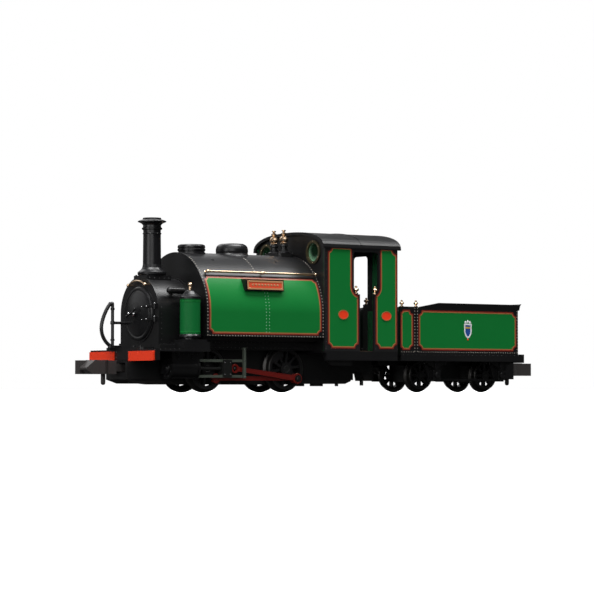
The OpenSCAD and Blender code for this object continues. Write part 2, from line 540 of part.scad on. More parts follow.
// Driving wheel with the crank boss; the dowel's hole lies half-way to the pin
module driver(x, a, dowel) difference() {
  union() {
    wheel(x, rd, driver_spokes, 0.75, 1.25, 9);
    difference() {
      ext_y(wo - 0.9, yb) union() { translate([x, zd]) circle(1.3); strut([x, zd], [x + px(a), zd + pz(a)], 2.0, 1.5); translate([x + px(a), zd + pz(a)]) circle(0.8); }
      cy(x, zd, ra, 0, 8);
    }
    // balance weight opposite the crank
    ext_y(wo - 0.7, wo - 0.1) intersection() {
      translate([x, zd]) difference() { circle(rd - 0.6); circle(rd - 1.7); }
      translate([x, zd]) rotate(a + 180) polygon([[0, 0], [6, -3.2], [6, 3.2]]);
    }
  }
  if (dowel) cy(x + px(a) / 2, zd + pz(a) / 2, 0.36, wo - 0.55, 8);
}
module front_wheels() color("#2a2a2c") at() {
  driver(xf, ang_l, false); cy(xf + px(ang_l), zd + pz(ang_l), pin_r, yb, yc1 + 0.04);
  mirror([0, 1, 0]) { driver(xf, ang_r, false); cy(xf + px(ang_r), zd + pz(ang_r), pin_r, yb, yc1 + 0.04); }
}
module rear_wheels() color("#2a2a2c") at() {
  driver(xr, ang_l, true); rear_pin(ang_l);
  mirror([0, 1, 0]) { driver(xr, ang_r, true); rear_pin(ang_r); }
}
module rear_pin(a) { cy(xr + px(a), zd + pz(a), pin_r, yb, yr1 + 0.1); cy(xr + px(a), zd + pz(a), 0.66, yr1 + 0.08, yr1 + 0.3); }
module crank_dowel_left() color("silver") at() cy(xr + px(ang_l) / 2, zd + pz(ang_l) / 2, 0.33, wo - 0.52, yb - 0.02);
module crank_dowel_right() color("silver") at() mirror([0, 1, 0]) cy(xr + px(ang_r) / 2, zd + pz(ang_r) / 2, 0.33, wo - 0.52, yb - 0.02);
module front_axle() color("silver") at() { cy(xf, zd, ra, -yb + 0.05, yb - 0.05); }
module rear_axle() color("silver") at() { cy(xr, zd, ra, -yb + 0.05, yb - 0.05); }
/* ---------- drive ---------- */
// Spur gear outline: trapezoid teeth, thin enough to run with backlash
module gear2d(z, ph) {
  r = m * z / 2; p = 360 / z; ro = r + 0.85 * m; rf = r - 1.15 * m;
  polygon([for (k = [0:z - 1], t = [[rf, -0.31], [ro, -0.12], [ro, 0.12], [rf, 0.31]])
           let (a = ph + p * (k + t[1])) [t[0] * cos(a), t[0] * sin(a)]]);
}
mesh_dir = atan2(zd - id_z, xf - id_x);      // from the idler to the axle gear
module axle_gear() color("ivory") at() ext_y(-0.5, 0.5) translate([xf, zd]) difference() {
  gear2d(axle_teeth, mesh_dir + 180 + 180 / axle_teeth);
  circle(ra);
}
module idler_gear() color("ivory") at() ext_y(-0.5, 0.5) translate([id_x, id_z]) difference() {
  gear2d(idler_teeth, mesh_dir);
  circle(0.55);
}
// Pins, bearings and can of the motor are fixed; the can is flat-sided and open for the shaft
module motor_can() color("#9a9a9c") at() {
  difference() {
    union() {
      intersection() { cx(0, worm_z, 4.9, -12.2, 1.2); bx(-12.2, 1.2, -4.1, 4.1, 10, 24); }
      cx(0, worm_z, 1.4, 1.2, 1.9);
    }
    cx(0, worm_z, 3.8, -11.6, 0.6);
    cx(0, worm_z, 0.56, -13, 3);
  }
  // idler's pin and its carrier, and the front shaft bearing
  difference() {
    union() {
      for (s = [-1, 1]) scale([1, s, 1]) {
        bx(id_x - 1.2, id_x + 1.2, 0.95, 1.6, 8.6, id_z + 1.2);
      }
      difference() { bx(11.1, 11.9, -1.6, 1.6, 8.6, worm_z + 1.3); bx(11, 12, -0.75, 0.75, 8, worm_z - 1.4); }
    }
    cx(0, worm_z, 0.56, 10, 13);
  }
  cy(id_x, id_z, 0.5, -1.6, 1.6);
}
// Motor shaft with its armature and the single-start worm
module motor_shaft() color("#b88a3a") at() {
  cx(0, worm_z, 0.5, -12, 5.0);
    cx(0, worm_z, 3.45, -10.4, -1.2);
  n = 4;
  translate([5.0, 0, worm_z]) rotate([0, 90, 0]) rotate([0, 0, worm_phase])
    linear_extrude(height = n * worm_pitch, twist = -360 * n, slices = 56) translate([0.28, 0]) circle(0.84, $fn = 14);
  cx(0, worm_z, 0.5, 5 + n * worm_pitch - e, 12.0);
}
// the idler's tooth nearest the worm, and the turn that sets a thread crest in the gap beside it
top_tooth = mesh_dir + 360 / idler_teeth * round((90 - mesh_dir) * idler_teeth / 360);
worm_phase = -360 * (id_x + r_id * cos(top_tooth) + worm_pitch / 2 - 5) / worm_pitch;
/* ---------- couplers and drawbar ---------- */
// Hook coupler, pointing forward from its pivot at the origin: shank with the pivot eye, head with
// a slot behind the lip, bevelled nose, and the tail pin below
module coupler() {
  L = front_end - fc;
  difference() {
    union() {
      cz(0, 0, 1.1, 3.45, 4.95);
      bx(0, 5.6, -0.9, 0.9, 3.45, 4.95);
      bx(4.9, L - 4.2, -1.15, 1.15, 2.95, 5.5);
      // head with bevelled edges
      hull() { bx(L - 5.0, L - 4.4, -1.3, 1.3, 2.95, 5.5); bx(L - 3.9, L - 0.6, -2.2, 2.2, 2.95, 5.5); bx(L - 0.7, L, -2.2, 2.2, 2.95, 5.5); }
      translate([L - 4.7, 0, 0]) rotate_extrude() polygon([[0, 0.95], [0.2, 0.97], [0.36, 1.1], [0.43, 1.35], [0.43, 3.2], [0, 3.2]]);
    }
    cz(0, 0, 0.66, 3, 6);
    bx(L - 3.5, L - 1.4, -1.5, 1.5, 2.5, 4.4);
    // the face slopes back above and below its nose on the left part
    ext_y(-0.5, 3) polygon([[L, 4.15], [L + 1, 4.15], [L + 1, 6], [L - 1.7, 6], [L - 1.7, 5.5]]);
    ext_y(-0.5, 3) polygon([[L, 3.8], [L + 1, 3.8], [L + 1, 2.5], [L - 1.2, 2.5], [L - 1.2, 2.95]]);
  }
}
module front_coupler() color("#232325") at() translate([fc, 0, 0]) coupler();
module rear_coupler() color("#232325") at() translate([-rc, 0, 0]) rotate([0, 0, 180]) coupler();
// Drawbar on the two pins, with the block and peg hanging from its middle
module drawbar() color("#232325") at() {
  difference() {
    union() {
      cz(drawpin_loco, 0, 1.3, 3.75, 4.5);
      cz(drawpin_tender, 0, 1.3, 3.75, 4.5);
      bx(drawpin_tender, drawpin_loco, -1.2, 1.2, 3.75, 4.5);
    }
    cz(drawpin_tender, 0, 0.57, 2, 6);
    cz(drawpin_loco, 0, 0.57, 2, 6);
  }
  ext_y(-1.4, 1.4) polygon([[-29.9, 3.85], [-30.4, 1.8], [-32.8, 1.8], [-32.8, 3.85]]);
  cz(-30.9, 0, 0.36, 0.9, 1.9);
}
/* ---------- tender ---------- */
// Frame: footplate with valances, outside guards with axleboxes and springs, pocket and drawbar box
module tender_frame() color("#17171a") at() {
  // drawbar's pin and its head, and the coupler's pivot in its pocket
  cz(drawpin_tender, 0, 0.5, 3.3, 5.1);
  cz(drawpin_tender, 0, 0.95, 3.2, 3.5);
  cz(-rc, 0, 0.58, 3.2, 5.3);
  difference() {
  union() {
    bx(tender_rear, tender_front, -half_w, half_w, 6.7, 7.2);
    both() {
      bx(tender_rear, tender_front, half_w - 0.6, half_w, 5.7, 6.7);
      tender_guard();
    }
    bx(tender_rear, tender_rear + 0.7, -half_w, half_w, 5.5, 6.9);
    bx(tender_front - 0.6, tender_front, -half_w + 1, half_w - 1, 5.7, 6.9);
    // middle bearer with axle bearings, coupler pocket behind and drawbar box in front
    bx(-63, -37.6, -3.3, 3.3, 4.9, 6.8);
    for (x = [xt1, xt2]) bx(x - 1.3, x + 1.3, -3.3, 3.3, 1.6, 5.2);
    bx(-53, -47, -3.3, 3.3, 2.1, 5.2);
    bx(-67.4, -59.9, -3.5, 3.5, 2.2, 6.0);
    bx(-37.8, -32.4, -3.6, 3.6, 4.95, 6.8);
  }
  for (x = [xt1, xt2]) cy(x, rt, ra + 0.05, -4, 4);
  // coupler pocket, open to the rear
  bx(-68, -60.1, -3.0, 3.0, 3.3, 5.2);
  bx(-68, -66.0, -3.0, 3.0, 2.75, 5.7);
  }
}
// Guard irons, axleboxes and leaf springs of one side
module tender_guard() {
  for (x = [xt1, xt2]) {
    ext_y(8.9, 9.5) difference() {
      polygon([[x - 2.9, 6.8], [x + 2.9, 6.8], [x + 1.35, 2.2], [x + 1.35, 1.7], [x - 1.35, 1.7], [x - 1.35, 2.2]]);
      polygon([[x - 1.9, 6.2], [x - 1.1, 6.2], [x - 1.05, 4.2]]);
      polygon([[x + 1.9, 6.2], [x + 1.1, 6.2], [x + 1.05, 4.2]]);
    }
    bx(x - 0.95, x + 0.95, 9.5, 10.5, rt - 1.0, rt + 1.0);
    cy(x, rt, 0.62, 10.5, 10.7);
    for (k = [0:3]) bx(x - 2.7 + 0.55 * k, x + 2.7 - 0.55 * k, 9.5, 10.3, 5.35 - 0.28 * k, 5.63 - 0.28 * k);
    bx(x - 0.35, x + 0.35, 9.5, 10.5, 4.0, 5.8);
    for (d = [-2.6, 2.6]) { cz(x + d, 9.9, 0.2, 5.2, 6.8); }
  }
  bx(xt2 + 1.2, xt1 - 1.2, 9.0, 9.4, 1.85, 2.2);
}
// Tank body with the flared top, the open front platform between two wings, and the coal space
module tender_tank() color("#1b6b36") at() {
  hw = 11.5; x1 = -36; x2 = -61.9;
  difference() {
    union() {
      bx(x2, x1, -hw, hw, 7.2, tender_top - 0.1);
      // flare: rises behind the front corner and runs level to the rear, leaning outwards
      both() flare_side(hw);
      ext_y(-hw, hw) polygon([[x2 + 0.3, tender_top - 0.3], [x2, tender_top - 0.3], [x2 - 0.3, tender_top + 0.35], [x2 - 0.95, tender_top + 1.0], [x2 - 0.6, tender_top + 1.0], [x2 + 0.0, tender_top + 0.45], [x2 + 0.3, tender_top - 0.1]]);
      // wings
      both() bx(x1 - 0.2, tender_front - 0.05, hw - 0.6, hw, 7.2, tender_top);
      both() bx(x1 - 0.3, x1 + 0.3, hw - 0.9, hw + 0.1, 7.2, tender_top);
    }
    // top recess and coal space
    bx(x2 + 0.5, x1 - 0.5, -hw + 0.6, hw - 0.6, tender_top - 1.1, 20);
    bx(x2 + 7, x1 + 1, -6.4, 6.4, 9.2, 20);
    // hollow water space below
    bx(x2 + 0.8, x2 + 6.2, -hw + 0.8, hw - 0.8, 7, tender_top - 1.9);
    both() bx(x2 + 6, x1 - 0.8, 7.2, hw - 0.8, 7, tender_top - 1.9);
  }
  cz(-57.5, 0, 2.0, tender_top - 1.2, tender_top - 0.2);
  cz(-57.5, 0, 1.7, tender_top - 0.3, tender_top);
}
module flare_side(hw) {
  // side coping as an upright strip leaning out by half a millimetre
  ext_x_flare(-62.3, -41.4, hw, tender_top - 0.3, 17.25);
  intersection() {
    ext_x_flare(-41.45, -37, hw, tender_top - 0.3, 17.25);
    ext_y(10, 13) polygon([[-41.5, 15], [-36.6, 15], [-36.8, tender_top], [-41.4, 17.25], [-41.5, 17.25]]);
  }
}
module ext_x_flare(x0, x1, hw, z0, z1) ext_x(x0, x1) polygon([[hw - 0.6, z0], [hw, z0], [hw, z0 + 0.15], [hw + 0.32, z1], [hw - 0.05, z1], [hw - 0.3, z0 + 0.4], [hw - 0.6, z0 + 0.3]]);
module tender_knobs() color("#c9a45c") at() both() for (x = [-32.5, -36.0]) acorn(x, 11.2, tender_top, 0.85);
module tender_wheelset(x) {
  both() wheel(x, rt, 8, 0.6, 0.95, 0);
  cy(x, rt, ra, -wo, wo);
}
module tender_front_wheels() color("#2a2a2c") at() tender_wheelset(xt1);
module tender_rear_wheels() color("#2a2a2c") at() tender_wheelset(xt2);

chassis_block();
keeper_plate();
chassis_screws();
front_deck();
beam_pads();
cab_footplate();
boiler_casing();
smokebox();
smokebox_door();
door_handrail();
chimney();
saddle_tank();
filler_lid();
dome();
tank_handrails();
nameplates();
sandboxes();
sandbox_caps();
sandbox_finials();
brake_hose();
safety_valves();
cab_front();
spectacle_rims();
spectacle_glass();
cab_side_left();
cab_side_right();
cab_back();
cab_roof();
cab_knobs();
backhead();
cylinders();
slide_bars();
motor_can();
motor_shaft();
idler_gear();
axle_gear();
front_axle();
front_wheels();
rear_axle();
rear_wheels();
coupling_rod_left();
coupling_rod_right();
connecting_rod_left();
connecting_rod_right();
crosshead_left();
crosshead_right();
piston_rod_left();
piston_rod_right();
gudgeon_left();
gudgeon_right();
crank_dowel_left();
crank_dowel_right();
front_coupler();
rear_coupler();
drawbar();
tender_frame();
tender_tank();
tender_knobs();
tender_front_wheels();
tender_rear_wheels();
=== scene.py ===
import bpy
import bmesh
import math
import random
from mathutils import Vector, Matrix


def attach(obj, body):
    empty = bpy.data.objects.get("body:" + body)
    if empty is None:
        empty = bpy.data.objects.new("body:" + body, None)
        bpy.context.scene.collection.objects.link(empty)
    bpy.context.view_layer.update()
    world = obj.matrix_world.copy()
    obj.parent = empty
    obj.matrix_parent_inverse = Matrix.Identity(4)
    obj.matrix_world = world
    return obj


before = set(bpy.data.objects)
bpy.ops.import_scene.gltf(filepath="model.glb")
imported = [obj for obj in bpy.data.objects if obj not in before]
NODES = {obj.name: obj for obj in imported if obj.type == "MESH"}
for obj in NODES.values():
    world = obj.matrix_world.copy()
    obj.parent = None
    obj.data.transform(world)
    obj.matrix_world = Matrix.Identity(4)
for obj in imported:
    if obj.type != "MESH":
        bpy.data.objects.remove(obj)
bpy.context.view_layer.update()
random.seed(7)

# Rail coordinates in millimetres (X = 0 midway between the driving axles, Z = 0 on the rail)
XS, ZS = 20.0, 0.5


def P(x, y, z):
    return Vector(((x + XS) / 1000, y / 1000, (z + ZS) / 1000))


# ---------------------------------------------------------------- materials
def tree(name):
    m = bpy.data.materials.new(name)
    m.use_nodes = True
    nt = m.node_tree
    b = nt.nodes["Principled BSDF"]
    tc = nt.nodes.new("ShaderNodeTexCoord")
    return m, nt, b, tc.outputs["Object"]


def noise(nt, co, scale, detail=3, rough=0.55):
    n = nt.nodes.new("ShaderNodeTexNoise")
    n.inputs["Scale"].default_value = scale
    n.inputs["Detail"].default_value = detail
    n.inputs["Roughness"].default_value = rough
    nt.links.new(co, n.inputs["Vector"])
    return n.outputs["Fac"]


def remap(nt, v, a, b, lo=0.3, hi=0.7):
    n = nt.nodes.new("ShaderNodeMapRange")
    n.inputs["From Min"].default_value = lo
    n.inputs["From Max"].default_value = hi
    n.inputs["To Min"].default_value = a
    n.inputs["To Max"].default_value = b
    nt.links.new(v, n.inputs["Value"])
    return n.outputs["Result"]


def mix(nt, fac, a, b):
    n = nt.nodes.new("ShaderNodeMix")
    n.data_type = "RGBA"
    nt.links.new(fac, n.inputs["Factor"])
    for k, v in (("A", a), ("B", b)):
        s = [i for i in n.inputs if i.name == k and i.type == "RGBA"][0]
        if isinstance(v, (tuple, list)):
            s.default_value = (*v[:3], 1)
        else:
            nt.links.new(v, s)
    return [o for o in n.outputs if o.type == "RGBA"][0]


def bump(nt, b, h, strength, dist):
    n = nt.nodes.new("ShaderNodeBump")
    n.inputs["Strength"].default_value = strength
    n.inputs["Distance"].default_value = dist
    nt.links.new(h, n.inputs["Height"])
    nt.links.new(n.outputs["Normal"], b.inputs["Normal"])


def math_node(nt, op, a, b=None):
    n = nt.nodes.new("ShaderNodeMath")
    n.operation = op
    for i, v in enumerate((a, b)):
        if v is None:
            continue
        if isinstance(v, (int, float)):
            n.inputs[i].default_value = v
        else:
            nt.links.new(v, n.inputs[i])
    return n.outputs[0]


def scale_c(c, k):
    return tuple(min(1.0, v * k) for v in c)


def surface(nt, b, co, col, rough, metal=0.0, coat=0.0, var=0.06, grain=2600, bumpd=0.000002, bs=0.15, mottled=120, spec=0.5):
    big = noise(nt, co, mottled, 3)
    fine = noise(nt, co, grain, 2)
    c = mix(nt, remap(nt, big, 0, 1), scale_c(col, 1 - var), scale_c(col, 1 + var))
    nt.links.new(c, b.inputs["Base Color"])
    nt.links.new(remap(nt, noise(nt, co, mottled * 1.7, 2), max(0.03, rough - 0.03), rough + 0.03), b.inputs["Roughness"])
    b.inputs["Metallic"].default_value = metal
    b.inputs["Specular IOR Level"].default_value = spec
    b.inputs["Coat Weight"].default_value = coat
    b.inputs["Coat Roughness"].default_value = 0.12
    bump(nt, b, fine, bs, bumpd)
    return c


def paint(name, col, rough=0.35, **k):
    m, nt, b, co = tree(name)
    surface(nt, b, co, col, rough, **k)
    return m


BLACK = (0.006, 0.006, 0.0068)
GREEN = (0.005, 0.162, 0.029)
# cab's inside green: the green paint painted lighter than the outside green, painted light standing in for the light
# that reaches into the cab
INSIDE_GREEN_PAINTED_LIGHT = (0.014, 0.25, 0.075)

black_gloss = paint("black_gloss", BLACK, 0.3, var=0.04, spec=0.4)
black_satin = paint("black_satin", (0.0056, 0.0056, 0.006), 0.36, spec=0.36)
black_matt = paint("black_matt", (0.012, 0.0115, 0.011), 0.5, bumpd=0.000008)
rubber = paint("hose_black", (0.012, 0.012, 0.0125), 0.3, bumpd=0.000004)
die_cast = paint("die_cast", (0.009, 0.009, 0.0095), 0.5, metal=0.3, bumpd=0.000008)
green = paint("green_gloss", GREEN, 0.42, coat=0.0, var=0.02, spec=0.16)
# sandboxes: the tank green painted darker, painted shade on the sandbox bodies; their bands keep the tank green
sand_green_shaded = paint("sandbox_green_painted_shade", (0.005, 0.125, 0.028), 0.45, var=0.02, spec=0.12)
coupler_black = paint("coupler_black", (0.034, 0.030, 0.029), 0.5, bumpd=0.000004)
green_in = paint("green_inside_painted_light", INSIDE_GREEN_PAINTED_LIGHT, 0.45, var=0.06)
red = paint("red_paint", (0.86, 0.048, 0.013), 0.42, var=0.03, spec=0.3)
plate_red = paint("plate_red", (0.62, 0.075, 0.03), 0.42, var=0.03, spec=0.3)
orange = paint("lining_red", (0.20, 0.016, 0.008), 0.4, var=0.08)
tan = paint("lining_tan", (0.36, 0.125, 0.045), 0.42, var=0.08)
brass = paint("brass_polished", (0.72, 0.53, 0.36), 0.2, metal=1.0, var=0.05)
aged = paint("brass_aged", (0.10, 0.085, 0.045), 0.35, metal=0.8, var=0.08)
plate_tan = paint("plate_tan", (0.45, 0.22, 0.10), 0.4, var=0.06)
steel = paint("steel_bright", (0.6, 0.6, 0.61), 0.26, metal=1.0, var=0.06)
rod_red = paint("rod_red", (0.22, 0.012, 0.008), 0.36, coat=0.15, var=0.06)
bar_grey = paint("bar_grey", (0.13, 0.155, 0.125), 0.42, metal=0.2, var=0.06)
dark_steel = paint("dark_steel", (0.05, 0.052, 0.05), 0.4, metal=0.8, var=0.08)
# pale rivet heads: partly worn paint, partly painted highlights standing in for the glints on the heads
rivet_wear_and_glint = paint("rivet_pale_wear_and_glint", (0.30, 0.275, 0.24), 0.32, var=0.1)
rivet_green_wear_and_glint = paint("rivet_green_wear_and_glint", (0.24, 0.52, 0.32), 0.35, var=0.1)
rivet_black = paint("rivet_black", (0.02, 0.02, 0.021), 0.3, var=0.1)
white = paint("white_enamel", (0.75, 0.76, 0.78), 0.35, var=0.04)
blue = paint("blue_enamel", (0.02, 0.07, 0.30), 0.35, var=0.06)
gold = paint("gold_enamel", (0.72, 0.48, 0.12), 0.35, metal=0.4, var=0.06)
gear_white = paint("gear_plastic", (0.72, 0.70, 0.62), 0.5, var=0.05)
copper = paint("copper_pipe", (0.72, 0.33, 0.19), 0.28, metal=1.0, var=0.08)


def masked(name, base, other, mask, rough=0.42, rough2=0.42, metal2=0.0, coat=0.0):
    """base everywhere, other where mask(nt, x, y, z) is 1"""
    m, nt, b, co = tree(name)
    c1 = surface(nt, b, co, base, rough, coat=coat)
    s = nt.nodes.new("ShaderNodeSeparateXYZ")
    nt.links.new(co, s.inputs[0])
    f = mask(nt, s.outputs[0], s.outputs[1], s.outputs[2])
    c2 = mix(nt, remap(nt, noise(nt, co, 420, 3), 0, 1), scale_c(other, 0.94), scale_c(other, 1.06))
    nt.links.new(mix(nt, f, c1, c2), b.inputs["Base Color"])
    if abs(rough - rough2) > 0.01:
        r = remap(nt, f, rough, rough2, 0, 1)
        nt.links.new(r, b.inputs["Roughness"])
    if metal2:
        nt.links.new(math_node(nt, "MULTIPLY", f, metal2), b.inputs["Metallic"])
    return m


def inner_side(nt, x, y, z):
    return math_node(nt, "LESS_THAN", math_node(nt, "ABSOLUTE", y), 0.01127)


# inner faces of the cab sheets get the lightened inside green: painted light
cab_skin = masked("cab_sheet", (0.0065, 0.0065, 0.007), INSIDE_GREEN_PAINTED_LIGHT, inner_side)


def back_mask(nt, x, y, z):
    ay = math_node(nt, "ABSOLUTE", y)
    zr = z
    wide = math_node(nt, "GREATER_THAN", ay, 0.0042)
    low = math_node(nt, "MULTIPLY", math_node(nt, "LESS_THAN", zr, (15.6 + ZS) / 1000), math_node(nt, "GREATER_THAN", ay, 0.0027))
    inside = math_node(nt, "MAXIMUM", wide, low)
    edge = math_node(nt, "LESS_THAN", ay, 0.0107)
    top = math_node(nt, "LESS_THAN", zr, (27.6 + ZS) / 1000)
    return math_node(nt, "MULTIPLY", math_node(nt, "MULTIPLY", inside, edge), top)


back_skin = masked("cab_back_sheet", (0.0065, 0.0065, 0.007), INSIDE_GREEN_PAINTED_LIGHT, back_mask)


def tyre_mask(cx, cz, r):
    def f(nt, x, y, z):
        dx = math_node(nt, "SUBTRACT", x, (cx + XS) / 1000)
        dz = math_node(nt, "SUBTRACT", z, (cz + ZS) / 1000)
        d = math_node(nt, "SQRT", math_node(nt, "ADD", math_node(nt, "MULTIPLY", dx, dx), math_node(nt, "MULTIPLY", dz, dz)))
        return math_node(nt, "GREATER_THAN", d, (r - 0.22) / 1000)
    return f


def above_neck(nt, x, y, z):
    return math_node(nt, "GREATER_THAN", z, (28.62 + ZS) / 1000)


valve_skin = masked("valve_brass", (0.0065, 0.0065, 0.007), (0.72, 0.53, 0.36), above_neck, rough=0.3, rough2=0.2, metal2=1.0)
WHEELS = {"front_wheels": (9, 4.05, 4.05), "rear_wheels": (-9, 4.05, 4.05),
          "tender_front_wheels": (-41.8, 2.95, 2.95), "tender_rear_wheels": (-58.4, 2.95, 2.95)}

# spectacle glass: dark green glass with a painted highlight, a pale green ring round each window's edge
glass, nt, b, co = tree("spectacle_glass")
b.inputs["Transmission Weight"].default_value = 0.6
b.inputs["IOR"].default_value = 1.46
nt.links.new(remap(nt, noise(nt, co, 900, 3), 0.02, 0.07), b.inputs["Roughness"])
sg = nt.nodes.new("ShaderNodeSeparateXYZ")
nt.links.new(co, sg.inputs[0])
gy = math_node(nt, "SUBTRACT", math_node(nt, "ABSOLUTE", sg.outputs[1]), 0.0082)
gz = math_node(nt, "SUBTRACT", sg.outputs[2], (27.0 + ZS) / 1000)
gr = math_node(nt, "SQRT", math_node(nt, "ADD", math_node(nt, "MULTIPLY", gy, gy), math_node(nt, "MULTIPLY", gz, gz)))
# painted highlight: the outer ring of each window is mixed to pale green, a painted glint where the glass edge catches
# the light
rim = remap(nt, gr, 0, 1, 0.0011, 0.0021)
nt.links.new(mix(nt, rim, mix(nt, noise(nt, co, 500, 2), (0.006, 0.03, 0.012), (0.012, 0.05, 0.02)), (0.35, 0.72, 0.45)), b.inputs["Base Color"])

LOOK = {
    "chassis_block": die_cast, "keeper_plate": black_matt, "chassis_screws": steel, "front_deck": black_satin,
    "beam_pads": red, "cab_footplate": black_satin, "boiler_casing": black_satin, "smokebox": black_satin,
    "smokebox_door": black_gloss, "door_handrail": brass, "chimney": black_gloss, "saddle_tank": black_satin,
    "filler_lid": black_gloss, "dome": black_gloss, "tank_handrails": brass, "nameplates": black_satin,
    "sandboxes": sand_green_shaded, "sandbox_caps": black_gloss, "sandbox_finials": brass, "brake_hose": rubber,
    "safety_valves": valve_skin, "cab_front": black_satin, "spectacle_rims": aged, "spectacle_glass": glass,
    "cab_side_left": cab_skin, "cab_side_right": cab_skin, "cab_back": back_skin, "cab_roof": black_satin,
    "cab_knobs": brass, "backhead": black_satin, "cylinders": black_satin, "slide_bars": bar_grey,
    "motor_can": steel, "motor_shaft": steel, "idler_gear": gear_white, "axle_gear": gear_white,
    "front_axle": steel, "rear_axle": steel,
    "coupling_rod_left": rod_red, "coupling_rod_right": rod_red,
    "connecting_rod_left": rod_red, "connecting_rod_right": rod_red,
    "crosshead_left": dark_steel, "crosshead_right": dark_steel,
    "piston_rod_left": dark_steel, "piston_rod_right": dark_steel, "gudgeon_left": dark_steel, "gudgeon_right": dark_steel,
    "crank_dowel_left": dark_steel, "crank_dowel_right": dark_steel,
    "front_coupler": coupler_black, "rear_coupler": coupler_black, "drawbar": black_matt,
    "tender_frame": black_satin, "tender_tank": black_satin, "tender_knobs": brass,
}
for n, (cx, cz, r) in WHEELS.items():
    LOOK[n] = masked(n + "_metal", (0.007, 0.007, 0.0075), (0.075, 0.073, 0.07), tyre_mask(cx, cz, r), rough=0.4, rough2=0.36, metal2=0.8)
for n, o in NODES.items():
    m = LOOK[n]
    if not o.data.materials:
        o.data.materials.append(m)
    for s in o.material_slots:
        s.material = m


# ---------------------------------------------------------------- mesh helpers (all points in rail millimetres)
def make(name, verts, faces, mat, body, smooth=False, closed=True, sharp=35):
    me = bpy.data.meshes.new(name)
    me.from_pydata([P(*v) for v in verts], [], faces)
    bm = bmesh.new()
    bm.from_mesh(me)
    bmesh.ops.remove_doubles(bm, verts=bm.verts, dist=1e-7)
    if closed:
        bmesh.ops.recalc_face_normals(bm, faces=bm.faces)
    bm.to_mesh(me)
    bm.free()
    if smooth:
        me.polygons.foreach_set("use_smooth", [True] * len(me.polygons))
        me.set_sharp_from_angle(angle=math.radians(sharp))
    me.materials.append(mat)
    o = bpy.data.objects.new(name, me)
    bpy.context.scene.collection.objects.link(o)
    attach(o, body)
    return o


def offset_poly(pts, d):
    """closed outline moved inward by d (the outline runs anticlockwise)"""
    n = len(pts)
    out = []
    for i in range(n):
        a, p, c = pts[i - 1], pts[i], pts[(i + 1) % n]
        e1 = (p[0] - a[0], p[1] - a[1])
        e2 = (c[0] - p[0], c[1] - p[1])
        l1, l2 = math.hypot(*e1) or 1e-9, math.hypot(*e2) or 1e-9
        n1 = (-e1[1] / l1, e1[0] / l1)
        n2 = (-e2[1] / l2, e2[0] / l2)
        bx, by = n1[0] + n2[0], n1[1] + n2[1]
        k = max(0.35, (bx * bx + by * by) / 2)
        out.append((p[0] + d * bx / k, p[1] + d * by / k))
    return out


def area(pts):
    return 0.5 * sum(pts[i - 1][0] * pts[i][1] - pts[i][0] * pts[i - 1][1] for i in range(len(pts)))


def dense(pts, step=0.35):
    out = []
    n = len(pts)
    for i in range(n):
        a, c = pts[i], pts[(i + 1) % n]
        L = math.hypot(c[0] - a[0], c[1] - a[1])
        if L < 1e-6:
            continue
        k = max(1, int(math.ceil(L / step)))
        for j in range(k):
            out.append((a[0] + (c[0] - a[0]) * j / k, a[1] + (c[1] - a[1]) * j / k))
    return out


def arc(cx, cy, r, a0, a1, n=7):
    return [(cx + r * math.cos(math.radians(a0 + (a1 - a0) * i / n)), cy + r * math.sin(math.radians(a0 + (a1 - a0) * i / n))) for i in range(n + 1)]


def incurved(u0, u1, v0, v1, r):
    """rectangle with scalloped corners, anticlockwise; r is one radius or four (from low-left, anticlockwise)"""
    r = [r] * 4 if isinstance(r, (int, float)) else r
    p = []
    p += arc(u0, v0, r[0], 90, 0)
    p += arc(u1, v0, r[1], 180, 90)
    p += arc(u1, v1, r[2], 270, 180)
    p += arc(u0, v1, r[3], 360, 270)
    return p


def ccw(p):
    return p if area(p) > 0 else p[::-1]


def ribbon(name, outer, inner, surf, top, mat, body, low=-0.02):
    n = len(outer)
    v = [surf(*p, top) for p in outer] + [surf(*p, top) for p in inner] + [surf(*p, low) for p in outer] + [surf(*p, low) for p in inner]
    f = []
    for i in range(n):
        j = (i + 1) % n
        f += [(i, j, n + j, n + i), (2 * n + i, 3 * n + i, 3 * n + j, 2 * n + j), (i, 2 * n + i, 2 * n + j, j), (n + i, n + j, 3 * n + j, 3 * n + i)]
    return make(name, v, f, mat, body)


def span(poly, v):
    xs = []
    n = len(poly)
    for i in range(n):
        (x0, y0), (x1, y1) = poly[i - 1], poly[i]
        if (y0 <= v < y1) or (y1 <= v < y0):
            xs.append(x0 + (x1 - x0) * (v - y0) / (y1 - y0))
    return (min(xs), max(xs)) if len(xs) > 1 else None


def skin(name, poly, surf, top, mat, body, step=0.12, low=-0.02, cols=6):
    vs = [p[1] for p in poly]
    v0, v1 = min(vs) + 1e-4, max(vs) - 1e-4
    k = max(2, int((v1 - v0) / step))
    rows = []
    for i in range(k + 1):
        v = v0 + (v1 - v0) * i / k
        s = span(poly, v)
        if s:
            rows.append((v, s))
    verts, faces = [], []
    w = cols + 1
    for v, (a, c) in rows:
        for h in (top, low):
            for j in range(w):
                verts.append(surf(a + (c - a) * j / cols, v, h))
    R = 2 * w
    for i in range(len(rows) - 1):
        A, B = i * R, (i + 1) * R
        for j in range(cols):
            faces.append((A + j, A + j + 1, B + j + 1, B + j))
            faces.append((A + w + j, B + w + j, B + w + j + 1, A + w + j + 1))
        faces.append((A, B, B + w, A + w))
        faces.append((A + cols, A + w + cols, B + w + cols, B + cols))
    for A in (0, (len(rows) - 1) * R):
        for j in range(cols):
            faces.append((A + j, A + j + 1, A + w + j + 1, A + w + j))
    return make(name, verts, faces, mat, body)


